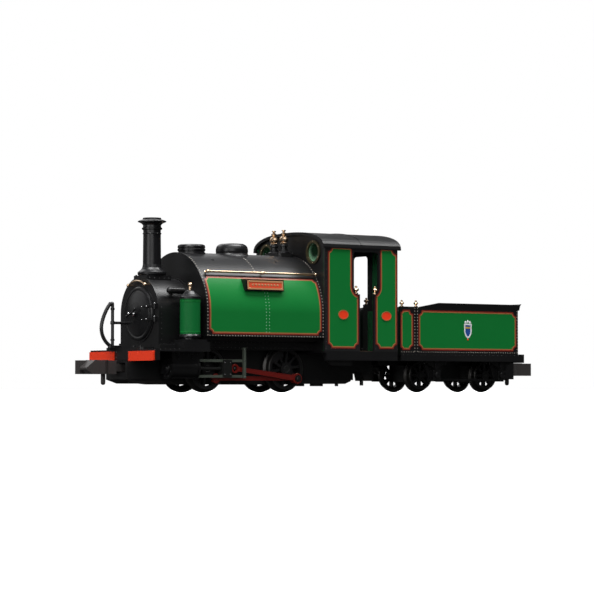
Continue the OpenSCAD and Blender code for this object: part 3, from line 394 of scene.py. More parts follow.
def lined_panel(name, outline, surf, body, fill=None, w1=0.22, w2=0.2):
    p0 = ccw(dense(outline))
    p1, p2, pg = offset_poly(p0, w1), offset_poly(p0, w1 + w2), offset_poly(p0, w1 + w2 * 0.5)
    skin(name + "_panel", pg, surf, 0.018, fill or green, body)
    ribbon(name + "_line_red", p0, p1, surf, 0.035, orange, body)
    ribbon(name + "_line_tan", p1, p2, surf, 0.035, tan, body)


def domes(name, items, mat, body, seg=8):
    """items: (point, outward normal, radius, height) as small domed heads"""
    verts, faces = [], []
    for p, n, r, h in items:
        nz = Vector(n).normalized()
        ux = nz.orthogonal().normalized()
        uy = nz.cross(ux)
        base = len(verts)
        for rr, hh in ((r, -0.06), (r, 0.25 * h), (0.72 * r, 0.78 * h)):
            for k in range(seg):
                a = 2 * math.pi * k / seg
                q = Vector(p) + ux * (rr * math.cos(a)) + uy * (rr * math.sin(a)) + nz * hh
                verts.append(tuple(q))
        verts.append(tuple(Vector(p) + nz * h))
        for ring in range(2):
            for k in range(seg):
                k2 = (k + 1) % seg
                faces.append((base + ring * seg + k, base + ring * seg + k2, base + (ring + 1) * seg + k2, base + (ring + 1) * seg + k))
        for k in range(seg):
            faces.append((base + 2 * seg + k, base + 2 * seg + (k + 1) % seg, base + 3 * seg))
        faces.append(tuple(base + k for k in range(seg))[::-1])
    return make(name, verts, faces, mat, body, smooth=True, closed=True, sharp=50)


def lathe(name, centre, axis, profile, mat, body, seg=32, sharp=35):
    """turned piece: profile is (distance along the axis, radius), closed at both ends"""
    nz = Vector(axis).normalized()
    ux = nz.orthogonal().normalized()
    uy = nz.cross(ux)
    verts, faces = [], []
    for h, r in profile:
        for k in range(seg):
            a = 2 * math.pi * k / seg
            verts.append(tuple(Vector(centre) + nz * h + ux * (r * math.cos(a)) + uy * (r * math.sin(a))))
    for i in range(len(profile) - 1):
        for k in range(seg):
            k2 = (k + 1) % seg
            faces.append((i * seg + k, i * seg + k2, (i + 1) * seg + k2, (i + 1) * seg + k))
    faces.append(tuple(range(seg))[::-1])
    n = (len(profile) - 1) * seg
    faces.append(tuple(range(n, n + seg)))
    return make(name, verts, faces, mat, body, smooth=True, sharp=sharp)


def tube(name, pts, r, mat, body, seg=12):
    pts = [Vector(p) for p in pts]
    verts, faces = [], []
    t0 = (pts[1] - pts[0]).normalized()
    u = t0.orthogonal().normalized()
    for i, p in enumerate(pts):
        a, c = pts[max(0, i - 1)], pts[min(len(pts) - 1, i + 1)]
        t = (c - a).normalized()
        u = (u - t * u.dot(t)).normalized()
        w = t.cross(u)
        for k in range(seg):
            g = 2 * math.pi * k / seg
            verts.append(tuple(p + u * (r * math.cos(g)) + w * (r * math.sin(g))))
    for i in range(len(pts) - 1):
        for k in range(seg):
            k2 = (k + 1) % seg
            faces.append((i * seg + k, i * seg + k2, (i + 1) * seg + k2, (i + 1) * seg + k))
    faces.append(tuple(range(seg))[::-1])
    n = (len(pts) - 1) * seg
    faces.append(tuple(range(n, n + seg)))
    return make(name, verts, faces, mat, body, smooth=True, sharp=50)


def smooth_path(pts, k=8):
    out = []
    n = len(pts)
    for i in range(n - 1):
        p0, p1, p2, p3 = (Vector(pts[max(0, i - 1)]), Vector(pts[i]), Vector(pts[i + 1]), Vector(pts[min(n - 1, i + 2)]))
        for j in range(k):
            t = j / k
            out.append(0.5 * ((2 * p1) + (p2 - p0) * t + (2 * p0 - 5 * p1 + 4 * p2 - p3) * t * t + (3 * p1 - p0 - 3 * p2 + p3) * t ** 3))
    out.append(Vector(pts[-1]))
    return out


def block(name, x0, x1, y0, y1, z0, z1, mat, body, bevel=0.06):
    v = [(x, y, z) for x in (x0, x1) for y in (y0, y1) for z in (z0, z1)]
    f = [(0, 1, 3, 2), (4, 6, 7, 5), (0, 4, 5, 1), (2, 3, 7, 6), (0, 2, 6, 4), (1, 5, 7, 3)]
    o = make(name, v, f, mat, body)
    if bevel:
        b = o.modifiers.new("edge", "BEVEL")
        b.width = bevel / 1000
        b.segments = 2
    return o


E = "engine"
T = "tender"


# ---------------------------------------------------------------- surfaces
def tank_surf(s):
    def f(u, v, o):
        if v <= 14.5:
            return (u, s * (11.6 + o), v)
        a = (v - 14.5) / 11.6
        return (u, s * (11.6 + o) * math.cos(a), 14.5 + (11.6 + o) * math.sin(a))
    return f


def flat_y(s, y):
    return lambda u, v, o: (u, s * (y + o), v)


def flat_x(x, s):
    return lambda u, v, o: (x + s * o, u, v)


def normal_of(surf, u, v):
    a, b = Vector(surf(u, v, 0)), Vector(surf(u, v, 1))
    return (b - a).normalized()


def rivets_on(surf, pts, r=0.1, h=0.07):
    return [(surf(u, v, 0), normal_of(surf, u, v), r, h) for u, v in pts]


def row(a, b, pitch):
    L = math.hypot(b[0] - a[0], b[1] - a[1])
    n = max(1, round(L / pitch))
    return [(a[0] + (b[0] - a[0]) * i / n, a[1] + (b[1] - a[1]) * i / n) for i in range(n + 1)]


def vz(z):
    """arc parameter of a height on the tank's side"""
    return z if z <= 14.5 else 14.5 + 11.6 * math.asin((z - 14.5) / 11.6)


# ---------------------------------------------------------------- saddle tank
CROWN = 14.5 + 11.6 * math.pi / 2
for s, side in ((1, "left"), (-1, "right")):
    S = tank_surf(s)
    lined_panel("tank_" + side, incurved(-12.95, 12.6, 10.42, vz(21.25), [0.75, 0.75, 0.65, 0.65]), S, E)
    edge = row((12.4, 10.14), (-13.3, 10.14), 0.62)
    edge += row((12.88, 10.2), (12.88, vz(24.9)), 0.62) + row((-13.32, 10.7), (-13.32, vz(24.9)), 0.62)
    # pale tank edge rivets: worn paint and painted highlight
    domes("tank_edge_rivets_" + side, rivets_on(S, edge, 0.12, 0.08), rivet_wear_and_glint, E)
    col = []
    for x in (-0.2, -0.9):
        col += row((x, 10.9), (x, vz(18.3)), 0.64)
    # pale green seam rivets: worn paint and painted highlight
    domes("tank_seam_rivets_" + side, rivets_on(S, col, 0.1, 0.07), rivet_green_wear_and_glint, E)
    strap = row((0.35, vz(22.6)), (0.35, vz(25.1)), 0.62)
    domes("tank_strap_rivets_" + side, rivets_on(S, strap, 0.13, 0.08), rivet_wear_and_glint, E)
    # lap strap over the crown
    ribbon("tank_lap_" + side, [(0.75, 21.9), (0.75, CROWN - 0.02), (-0.05, CROWN - 0.02), (-0.05, 21.9)][::-1],
           [(0.7, 21.95), (0.7, CROWN - 0.07), (0.0, CROWN - 0.07), (0.0, 21.95)][::-1], S, 0.03, black_satin, E)
    # nameplate: blank red plate in a thin raised frame, with four screws
    NS = (lambda s: (lambda u, v, o: (u, s * (11.58 - 0.0824 * (v - 18.9) + o), v)))(s)
    plate = [(-4.05, 18.9), (4.05, 18.9), (4.05, 20.6), (-4.05, 20.6)]
    skin("nameplate_field_" + side, plate, NS, 0.02, plate_red, E)
    domes("nameplate_studs_" + side, rivets_on(NS, [(-2.8 + 0.7 * k, 19.75) for k in range(9)], 0.24, 0.08), plate_tan, E, 12)
    po = dense(plate)
    ribbon("nameplate_frame_" + side, po, offset_poly(po, 0.3), NS, 0.07, plate_tan, E)
    domes("nameplate_screws_" + side, rivets_on(NS, [(-3.6, 19.15), (3.6, 19.15), (3.6, 20.35), (-3.6, 20.35)], 0.1, 0.1), brass, E, 10)
    # pads under the rail's knobs
    for x in (-12.95, -0.8, 11.6):
        a = math.asin((22.15 - 14.5) / 11.6)
        n = (0, s * math.cos(a), math.sin(a))
        lathe("rail_pad_%s_%d" % (side, x), (x, s * 11.6 * math.cos(a), 22.15), n, [(-0.1, 0.3), (0.06, 0.3), (0.12, 0.2), (0.12, 0.05)], brass, E, 16)

# small wash-out plugs on the crown, the ring of studs round the dome and a grip on the filler
S = tank_surf(1)
for i, (x, z) in enumerate(((8.1, 24.6), (-6.2, 24.6))):
    v = vz(z)
    lathe("crown_plug_%d" % i, S(x, v, 0), normal_of(S, x, v), [(-0.05, 0.34), (0.05, 0.34), (0.07, 0.24), (-0.0, 0.2), (-0.0, 0.02)], black_gloss, E, 20)
for nm, x, r, zt in (("dome", 0.0, 3.34, 25.76),):
    pts = []
    for k in range(16):
        a = 2 * math.pi * k / 16
        pts.append(((x + r * math.cos(a), r * math.sin(a), zt), (0, 0, 1), 0.1, 0.07))
    domes(nm + "_studs", pts, rivet_black, E)
lathe("filler_grip", (9.2, 0, 27.6), (0, 0, 1), [(0, 0.75), (0.12, 0.7), (0.16, 0.55), (0.18, 0.1)], black_gloss, E, 24)
# studs round the safety valves' turret
pts = []
for x in (-12.45, -11.45, -10.45, -9.45):
    for y in (-2.5, 2.5):
        pts.append(((x, y, 26.6), (0, 0, 1), 0.11, 0.08))
domes("turret_studs", pts, rivet_black, E)
for y in (-1.7, 1.7):
    lathe("valve_flange_%d" % (y > 0), (-10.95, y, 26.6), (0, 0, 1), [(0, 1.15), (0.22, 1.15), (0.3, 1.0), (0.36, 0.82), (0.36, 0.8)], black_gloss, E, 28)
    lathe("valve_spring_case_%d" % (y > 0), (-10.95, y, 28.5), (0, 0, 1), [(0, 0.66), (0.05, 0.7), (0.1, 0.66), (0.1, 0.6)], brass, E, 24)

# ---------------------------------------------------------------- smokebox and chimney
pts = []
for x in (15.7, 16.75, 17.8, 18.85, 19.9):
    for y in (-2.4, 2.4):
        pts.append(((x, y, 20.95), (0, 1 if y > 0 else -1, 0), 0.13, 0.1))
domes("chimney_seat_bolts", pts, rivet_black, E)
pts = []
for k in range(-8, 9):
    a = math.radians(k * 11.5)
    pts.append(((13.75, 6.73 * math.sin(a), 14.3 + 6.73 * math.cos(a)), (0, math.sin(a), math.cos(a)), 0.1, 0.06))
for z in (13.4, 12.4, 11.4, 10.4, 9.4):
    for y in (-6.73, 6.73):
        pts.append(((13.75, y, z), (0, 1 if y > 0 else -1, 0), 0.1, 0.06))
        pts.append(((19.95, y, z), (0, 1 if y > 0 else -1, 0), 0.09, 0.05))
for k in range(-8, 9):
    a = math.radians(k * 11.5)
    if abs(6.73 * math.sin(a)) > 2.6:
        pts.append(((19.95, 6.73 * math.sin(a), 14.3 + 6.73 * math.cos(a)), (0, math.sin(a), math.cos(a)), 0.09, 0.05))
domes("smokebox_rivets", pts, rivet_black, E)
# ring of the door and its clamps
n = 40
ro = [(5.42 * math.cos(2 * math.pi * k / n), 14.3 + 5.42 * math.sin(2 * math.pi * k / n)) for k in range(n)]
ri = [(5.1 * math.cos(2 * math.pi * k / n), 14.3 + 5.1 * math.sin(2 * math.pi * k / n)) for k in range(n)]
ribbon("door_ring", ro, ri, flat_x(20.7, 1), 0.14, black_gloss, E)
domes("door_strap_bolts", [((21.52, y, z), (1, 0, 0), 0.11, 0.09) for z in (13.15, 15.55) for y in (0.6, 2.2, 3.8)], steel, E)
domes("door_hinge_caps", [((21.1, 6.1, z), (0, 0, 1), 0.2, 0.14) for z in (13.65, 16.05)] + [((21.15, 6.1, z), (1, 0, 0), 0.16, 0.1) for z in (12.85, 13.45, 15.25, 15.85)], steel, E)
lathe("dart_boss", (22.02, 0, 14.3), (1, 0, 0), [(0, 0.5), (0.1, 0.5), (0.18, 0.36), (0.3, 0.3), (0.3, 0.1)], steel, E, 20)
domes("dart_end", [((23.1, 0, 14.3), (1, 0, 0), 0.24, 0.22)], steel, E, 12)
# chimney: fine beading at the cap and the flared base's bolts
lathe("chimney_bead", (17.97, 0, 29.3), (0, 0, 1), [(0, 1.66), (0.04, 1.76), (0.12, 1.8), (0.2, 1.76), (0.24, 1.66)], black_gloss, E, 40)
domes("chimney_base_bolts", [((17.97 + 2.35 * math.cos(a), 2.35 * math.sin(a), 22.3), (0.3 * math.cos(a), 0.3 * math.sin(a), 1), 0.12, 0.1) for a in [math.radians(22.5 + 45 * k) for k in range(8)]], rivet_black, E)
# lubricators: end caps on each side
for s, side in ((1, "left"), (-1, "right")):
    lathe("lubricator_cap_" + side, (15.45, s * 6.9, 18.5), (-1, 0, 0), [(0, 0.6), (0.1, 0.6), (0.16, 0.45), (0.2, 0.15), (0.2, 0.05)], black_gloss, E, 20)

# ---------------------------------------------------------------- front deck and beam
domes("deck_rivets", [((x, s * 11.5, 7.5), (0, 0, 1), 0.09, 0.05) for s in (1, -1) for x in (19, 20, 21, 22, 23)] +
      [((24.0, y, 7.5), (0, 0, 1), 0.09, 0.05) for y in (-11, -10, -9, -8, 8, 9, 10, 11)], rivet_black, E)
for s, side in ((1, "left"), (-1, "right")):
    B = flat_x(24.8, 1)
    p = ccw(dense([(s * 3.0, 5.56), (s * 11.44, 5.56), (s * 11.44, 7.04), (s * 3.0, 7.04)]))
    domes("beam_bolts_" + side, rivets_on(B, [(s * u, v) for u in (3.7, 6.3, 8.4, 10.8) for v in (5.85, 6.75)], 0.11, 0.07), red, E)
domes("beam_middle_bolts", [((24.4, y, z), (1, 0, 0), 0.14, 0.1) for y in (-2.2, 2.2) for z in (6.1, 7.1)], rivet_black, E)
# ledge's light edge strip beside the smokebox
for s, side in ((1, "left"), (-1, "right")):
    block("ledge_strip_" + side, 17.4, 21.7, s * 9.05 - 0.12, s * 9.05 + 0.12, 8.33, 8.5, black_gloss, E, 0.05)
    # sandbox: bands, lid bolts and foot bolts
    for zc in (10.75, 16.45):
        lathe("sandbox_band_%s_%d" % (side, zc), (15.6, s * 9.75, zc), (0, 0, 1), [(-0.12, 1.9), (-0.1, 1.94), (0.1, 1.94), (0.12, 1.9)], green, E, 40)
    domes("sandbox_bolts_" + side, [((15.6 + 1.62 * math.cos(a), s * 9.75 + 1.62 * math.sin(a), 17.54), (0.35 * math.cos(a), 0.35 * math.sin(a), 1), 0.11, 0.09) for a in [math.radians(30 + 60 * k) for k in range(6)]], rivet_black, E)
    domes("sandbox_foot_bolts_" + side, [((15.6 + 1.95 * math.cos(a), s * 9.75 + 1.95 * math.sin(a), 10.2), (math.cos(a), math.sin(a), 0.6), 0.1, 0.07) for a in [math.radians(15 + 30 * k) for k in range(12)]], rivet_black, E)

# brake hose: clips and the ribs of a wound guard
for z in (9.4, 15.2):
    lathe("hose_pipe_clip_%d" % z, (24.75, -3, z), (0, 0, 1), [(-0.2, 0.3), (-0.18, 0.4), (0.18, 0.4), (0.2, 0.3)], black_gloss, E, 16)


def hose_point(p0, p1, d, t, y=-3.0):
    c = math.dist(p0, p1)
    R = c / (2 * math.sin(math.radians(d)))
    u = ((p1[0] - p0[0]) / c, (p1[1] - p0[1]) / c)
    o = ((p0[0] + p1[0]) / 2 + R * math.cos(math.radians(d)) * u[1], (p0[1] + p1[1]) / 2 - R * math.cos(math.radians(d)) * u[0])
    a0 = math.atan2(p0[1] - o[1], p0[0] - o[0]) - 2 * math.radians(d) * t
    q = (o[0] + R * math.cos(a0), y, o[1] + R * math.sin(a0))
    tg = (math.sin(a0), 0, -math.cos(a0))
    return q, tg


for k in range(15):
    q, tg = hose_point((25.15, 16.3), (27.1, 12.3), 14, (k + 0.5) / 15)
    lathe("hose_rib_a%d" % k, q, tg, [(-0.07, 0.3), (-0.05, 0.37), (0.05, 0.37), (0.07, 0.3)], rubber, E, 14)
    q, tg = hose_point((27.1, 12.3), (25.2, 8.25), 35.6, (k + 0.5) / 15)
    lathe("hose_rib_b%d" % k, q, tg, [(-0.07, 0.3), (-0.05, 0.37), (0.05, 0.37), (0.07, 0.3)], rubber, E, 14)

# ---------------------------------------------------------------- casing under the tank
for s, side in ((1, "left"), (-1, "right")):
    C = flat_y(s, 7.2)
    domes("casing_rivets_" + side, rivets_on(C, row((12.0, 8.0), (-13.2, 8.0), 0.9), 0.1, 0.06) + rivets_on(C, row((12.0, 9.0), (-13.2, 9.0), 0.9), 0.09, 0.05), rivet_black, E)

# ---------------------------------------------------------------- cab
FIL = 1.85
for s, side in ((1, "left"), (-1, "right")):
    S = flat_y(s, 11.85)
    # front panel, from its low front corner round to the top
    p = []
    p += arc(-14.25, 8.0, 0.85, 90, 180)           # scallop, up to left
    p += arc(-21.55, 8.0, 0.85, 0, 90)
    p += [(-21.55, 18.17)]
    p += [(-21.8 + FIL * math.cos(math.radians(a)), 20.0 + FIL * math.sin(math.radians(a))) for a in (-82, -70, -58, -46, -34, -22, -10, 0)]
    p += [(-19.95, 27.0), (-19.75, 27.5)]
    p += arc(-14.25, 27.55, 0.9, 180, 270)
    lined_panel("cab_front_" + side, p, S, E)
    p = []
    p += arc(-30.85, 8.0, 0.85, 90, 0)
    p += arc(-25.65, 8.0, 0.85, 180, 90)
    p += [(-25.65, 18.31)]
    p += [(-24.9 + FIL * math.cos(math.radians(a)), 20.0 + FIL * math.sin(math.radians(a))) for a in (246, 234, 222, 210, 198, 186, 180)]
    p += [(-26.75, 27.0), (-26.95, 27.5)]
    p += arc(-30.85, 27.55, 1.1, 360, 270)
    lined_panel("cab_rear_" + side, p, S, E)
    for i, (cx, cz) in enumerate(((-17.9, 14.5), (-28.25, 14.4))):
        n = 36
        el = [(cx + 1.2 * math.cos(2 * math.pi * k / n), cz + 0.92 * math.sin(2 * math.pi * k / n)) for k in range(n)]
        skin("cab_oval_%s_%d" % (side, i), el, S, 0.07, red, E, step=0.08)
        ribbon("cab_oval_rim_%s_%d" % (side, i), ccw(el), offset_poly(ccw(el), 0.14), S, 0.1, tan, E)
    # studs down the front corner and along the bottom
    domes("cab_studs_" + side, rivets_on(S, row((-13.85, 8.2), (-13.85, 27.4), 1.05) + row((-30.95, 8.0), (-13.9, 7.9), 1.1), 0.08, 0.05), rivet_black, E)
# roof: seam rivets and a bead along the seam


def roof_z(y, d=0.0):
    w, z0, z1 = 12.1 - d, 27.5, 30.75 - d
    return z0 + (z1 - z0) * max(0.0, 1 - (abs(y) / w) ** 2.3) ** (1 / 2.3)


pts = []
for k in range(-14, 15):
    y = k * 0.78
    z = roof_z(y)
    dz = (roof_z(y + 0.01) - roof_z(y - 0.01)) / 0.02
    for x in (-13.4, -31.35):
        pts.append(((x, y, z), (0, -dz, 1), 0.09, 0.05))
domes("roof_rivets", pts, rivet_black, E)
tube("roof_seam_bead", [(-22.2, 0.55 * k, roof_z(0.55 * k) - 0.02) for k in range(-20, 21)], 0.12, black_gloss, E, 10)
# round window frames: screws
pts = []
for s in (1, -1):
    for k in range(6):
        a = math.radians(30 + 60 * k)
        pts.append(((-13.35, s * 8 + 2.05 * math.cos(a), 26.6 + 2.05 * math.sin(a)), (1, 0, 0), 0.1, 0.07))
domes("window_screws", pts, brass, E)
pts = []
for s in (1, -1):
    for z in [9 + 1.1 * k for k in range(14)]:
        pts.append(((-13.6, s * 11.45, z), (1, 0, 0), 0.09, 0.05))
domes("cab_front_rivets", pts, rivet_black, E)

# backhead fittings inside the cab
X0 = -15.6
lathe("firehole_door", (X0 - 0.1, 0, 11.2), (-1, 0, 0), [(0.2, 1.62), (0.36, 1.62), (0.44, 1.5), (0.44, 1.2), (0.36, 1.1), (0.36, 0.1)], black_gloss, E, 28)
for y in (-3.2, 3.2):
    tube("gauge_glass_%d" % (y > 0), [(-16.1, y, 14.7), (-16.1, y, 17.7)], 0.16, white, E, 10)
    for z in (14.6, 17.8):
        lathe("gauge_nut_%d_%d" % (y > 0, z), (-16.1, y, z), (0, 0, 1), [(-0.2, 0.3), (-0.18, 0.36), (0.18, 0.36), (0.2, 0.3)], brass, E, 12)
lathe("pressure_gauge", (X0, 0, 19.9), (-1, 0, 0), [(0, 0.9), (0.35, 0.9), (0.42, 0.82), (0.42, 0.72), (0.36, 0.7)], brass, E, 28)
lathe("pressure_dial", (X0 - 0.33, 0, 19.9), (-1, 0, 0), [(0, 0.7), (0.05, 0.7), (0.05, 0.02)], white, E, 24)
tube("gauge_pipe", smooth_path([(-15.9, 0, 19.0), (-15.9, 0.6, 18.3), (-15.9, 1.6, 18.0), (-15.9, 2.2, 19.0)]), 0.1, copper, E, 8)
for k, y in enumerate((-4.3, 4.3)):
    tube("injector_pipe_%d" % k, smooth_path([(-15.75, y, 17.5), (-16.1, y, 15.0), (-16.0, y * 1.05, 11.5), (-15.9, y * 1.1, 7.9)]), 0.2, copper, E, 10)
    lathe("injector_wheel_%d" % k, (-16.1, y, 17.4), (-1, 0, 0), [(0, 0.12), (0.3, 0.12), (0.32, 0.5), (0.42, 0.5), (0.44, 0.1)], red, E, 18)
tube("regulator_lever", [(-16.35, -0.3, 17.0), (-16.45, 1.3, 17.9), (-16.45, 2.9, 18.7)], 0.14, steel, E, 10)
tube("reversing_lever", smooth_path([(-18.0, 8.6, 7.6), (-18.2, 8.6, 10.5), (-18.7, 8.6, 13.6)]), 0.17, steel, E, 10)
domes("lever_knob", [((-18.7, 8.6, 13.55), (-0.15, 0, 1), 0.3, 0.4)], brass, E, 14)
block("lever_quadrant", -19.3, -16.9, 8.2, 8.45, 7.5, 9.0, black_gloss, E)
# wooden floor boards in the cab
wood, nt, b, co = tree("floor_boards")
w = nt.nodes.new("ShaderNodeTexWave")
w.inputs["Scale"].default_value = 420
w.inputs["Distortion"].default_value = 4
w.inputs["Detail"].default_value = 3
mp = nt.nodes.new("ShaderNodeMapping")
mp.inputs["Scale"].default_value = (0.06, 1, 1)
nt.links.new(co, mp.inputs["Vector"])
nt.links.new(mp.outputs["Vector"], w.inputs["Vector"])
nt.links.new(mix(nt, w.outputs["Fac"], (0.045, 0.028, 0.016), (0.10, 0.062, 0.034)), b.inputs["Base Color"])
nt.links.new(remap(nt, w.outputs["Fac"], 0.55, 0.75, 0, 1), b.inputs["Roughness"])
bump(nt, b, w.outputs["Fac"], 0.4, 0.00003)
for k in range(9):
    y = -9.6 + 2.15 * k
    block("floor_board_%d" % k, -30.2, -16.2, y, y + 2.05, 7.5, 7.62, wood, E, 0.03)

# ---------------------------------------------------------------- cylinders and motion
for s, side in ((1, "left"), (-1, "right")):
    pts = []
    for k in range(8):
        a = math.radians(22.5 + 45 * k)
        y, z = 6.75 + 1.6 * math.cos(a), 4.05 + 1.6 * math.sin(a)
        if y > 5.8 and z > 2.2:
            pts.append(((18.8, s * y, z), (1, 0, 0), 0.14, 0.12))
    domes("cylinder_nuts_" + side, pts, rivet_black, E, 6)
    lathe("cylinder_cover_" + side, (19.0, s * 6.75, 4.05), (1, 0, 0), [(-0.02, 1.15), (0.08, 1.1), (0.14, 0.7), (0.3, 0.5), (0.3, 0.1)], black_gloss, E, 28)
    Yc = flat_y(s, 8.45)
    domes("chest_studs_" + side, rivets_on(Yc, row((13.2, 6.7), (18.2, 6.7), 1.0) + row((13.2, 4.5), (18.2, 4.5), 1.0), 0.12, 0.08), rivet_black, E, 6)
    Ybr = flat_y(s, 7.95)
    domes("bracket_bolts_" + side, rivets_on(Ybr, [(2.22, 5.5), (2.22, 2.55), (2.22, 7.6)], 0.13, 0.1), steel, E, 6)

# rods: raised edges either side of the flute, bosses, oil cups and pin caps
CR, CL = 2.4, 14.45
for s, side, ang in ((1, "left", -130.0), (-1, "right", -40.0)):
    a = math.radians(ang)
    px, pz = CR * math.cos(a), CR * math.sin(a)
    big = Vector((-9 + px, 0, 4.05 + pz))
    small = Vector((-9 + px + math.sqrt(CL * CL - pz * pz), 0, 4.05))
    d = (small - big).normalized()
    nrm = Vector((-d.z, 0, d.x))
    for sg, nm in ((1, "upper"), (-1, "lower")):
        q0 = big + d * 1.05 + nrm * (sg * 0.42)
        q1 = small - d * 0.9 + nrm * (sg * 0.30)
        w = nrm * (sg * 0.1)
        y0, y1 = s * 6.98, s * 7.06
        v = [(p.x, y, p.z) for y in (y0, y1) for p in (q0, q1, q1 + w, q0 + w)]
        make("con_rod_edge_%s_%s" % (nm, side), v, [(0, 1, 2, 3), (7, 6, 5, 4), (0, 4, 5, 1), (1, 5, 6, 2), (2, 6, 7, 3), (3, 7, 4, 0)], rod_red, "connecting_rod_" + side)
    for c, r, nm in ((big, 0.98, "big"), (small, 0.83, "small")):
        n = 28
        ro = [(c.x + r * math.cos(2 * math.pi * k / n), c.z + r * math.sin(2 * math.pi * k / n)) for k in range(n)]
        ri = [(c.x + (r - 0.22) * math.cos(2 * math.pi * k / n), c.z + (r - 0.22) * math.sin(2 * math.pi * k / n)) for k in range(n)]
        ribbon("con_rod_ring_%s_%s" % (nm, side), ro, ri, flat_y(s, 7.0), 0.06, rod_red, "connecting_rod_" + side)
        lathe("con_rod_oil_cup_%s_%s" % (nm, side), (c.x, s * 6.75, c.z + r - 0.08), (0, 0, 1), [(0, 0.13), (0.16, 0.13), (0.2, 0.17), (0.26, 0.12), (0.26, 0.02)], brass, "connecting_rod_" + side, 12)
    for xc, bd in ((9, "front_wheelset"), (-9, "rear_wheelset")):
        if xc > 0:
            lathe("pin_cap_%s" % side, (xc + px, s * 6.03, 4.05 + pz), (0, s, 0), [(0, 0.6), (0.05, 0.6), (0.075, 0.5), (0.075, 0.05)], rod_red, bd, 20)
        n = 24
        ro = [(xc + px + 0.9 * math.cos(2 * math.pi * k / n), 4.05 + pz + 0.9 * math.sin(2 * math.pi * k / n)) for k in range(n)]
        ri = [(xc + px + 0.68 * math.cos(2 * math.pi * k / n), 4.05 + pz + 0.68 * math.sin(2 * math.pi * k / n)) for k in range(n)]
        ribbon("coupling_rod_ring_%s_%d" % (side, xc > 0), ro, ri, flat_y(s, 6.02), 0.045, rod_red, "coupling_rod_" + side)
    lathe("big_end_nut_" + side, (-9 + px, s * 7.29, 4.05 + pz), (0, s, 0), [(0, 0.42), (0.12, 0.42), (0.16, 0.34), (0.16, 0.04)], dark_steel, "rear_wheelset", 6, 20)
    y0, y1 = s * 6.0, s * 6.06
    for sg, nm in ((1, "upper"), (-1, "lower")):
        z0 = 4.05 + pz + sg * 0.3
        v = [(x, y, z) for y in (y0, y1) for x, z in ((-8.0 + px, z0), (8.0 + px, z0), (8.0 + px, z0 + sg * 0.1), (-8.0 + px, z0 + sg * 0.1))]
        make("coupling_rod_edge_%s_%s" % (nm, side), v, [(0, 1, 2, 3), (7, 6, 5, 4), (0, 4, 5, 1), (1, 5, 6, 2), (2, 6, 7, 3), (3, 7, 4, 0)], rod_red, "coupling_rod_" + side)
    # crosshead: slipper bolts
    sx = small.x
    domes("crosshead_bolts_" + side, [((sx + k, s * 7.72, z), (0, s, 0), 0.12, 0.09) for k in (1.55, 2.75) for z in (2.95, 5.15)], steel, "crosshead_" + side, 6)
# wheel centres
for xc, zc, r, bd in ((9, 4.05, 0.95, "front_wheelset"), (-9, 4.05, 0.95, "rear_wheelset"), (-41.8, 2.95, 0.6, "tender_front_wheelset"), (-58.4, 2.95, 0.6, "tender_rear_wheelset")):
    for s in (1, -1):
        y = 5.5 if bd in ("front_wheelset", "rear_wheelset") else 5.35
        lathe("axle_end_%s_%d" % (bd, s > 0), (xc, s * (y - 0.02), zc), (0, s, 0), [(0, r * 0.62), (0.04, r * 0.62), (0.06, r * 0.5), (0.03, r * 0.3), (0.03, 0.02)], dark_steel, bd, 20)

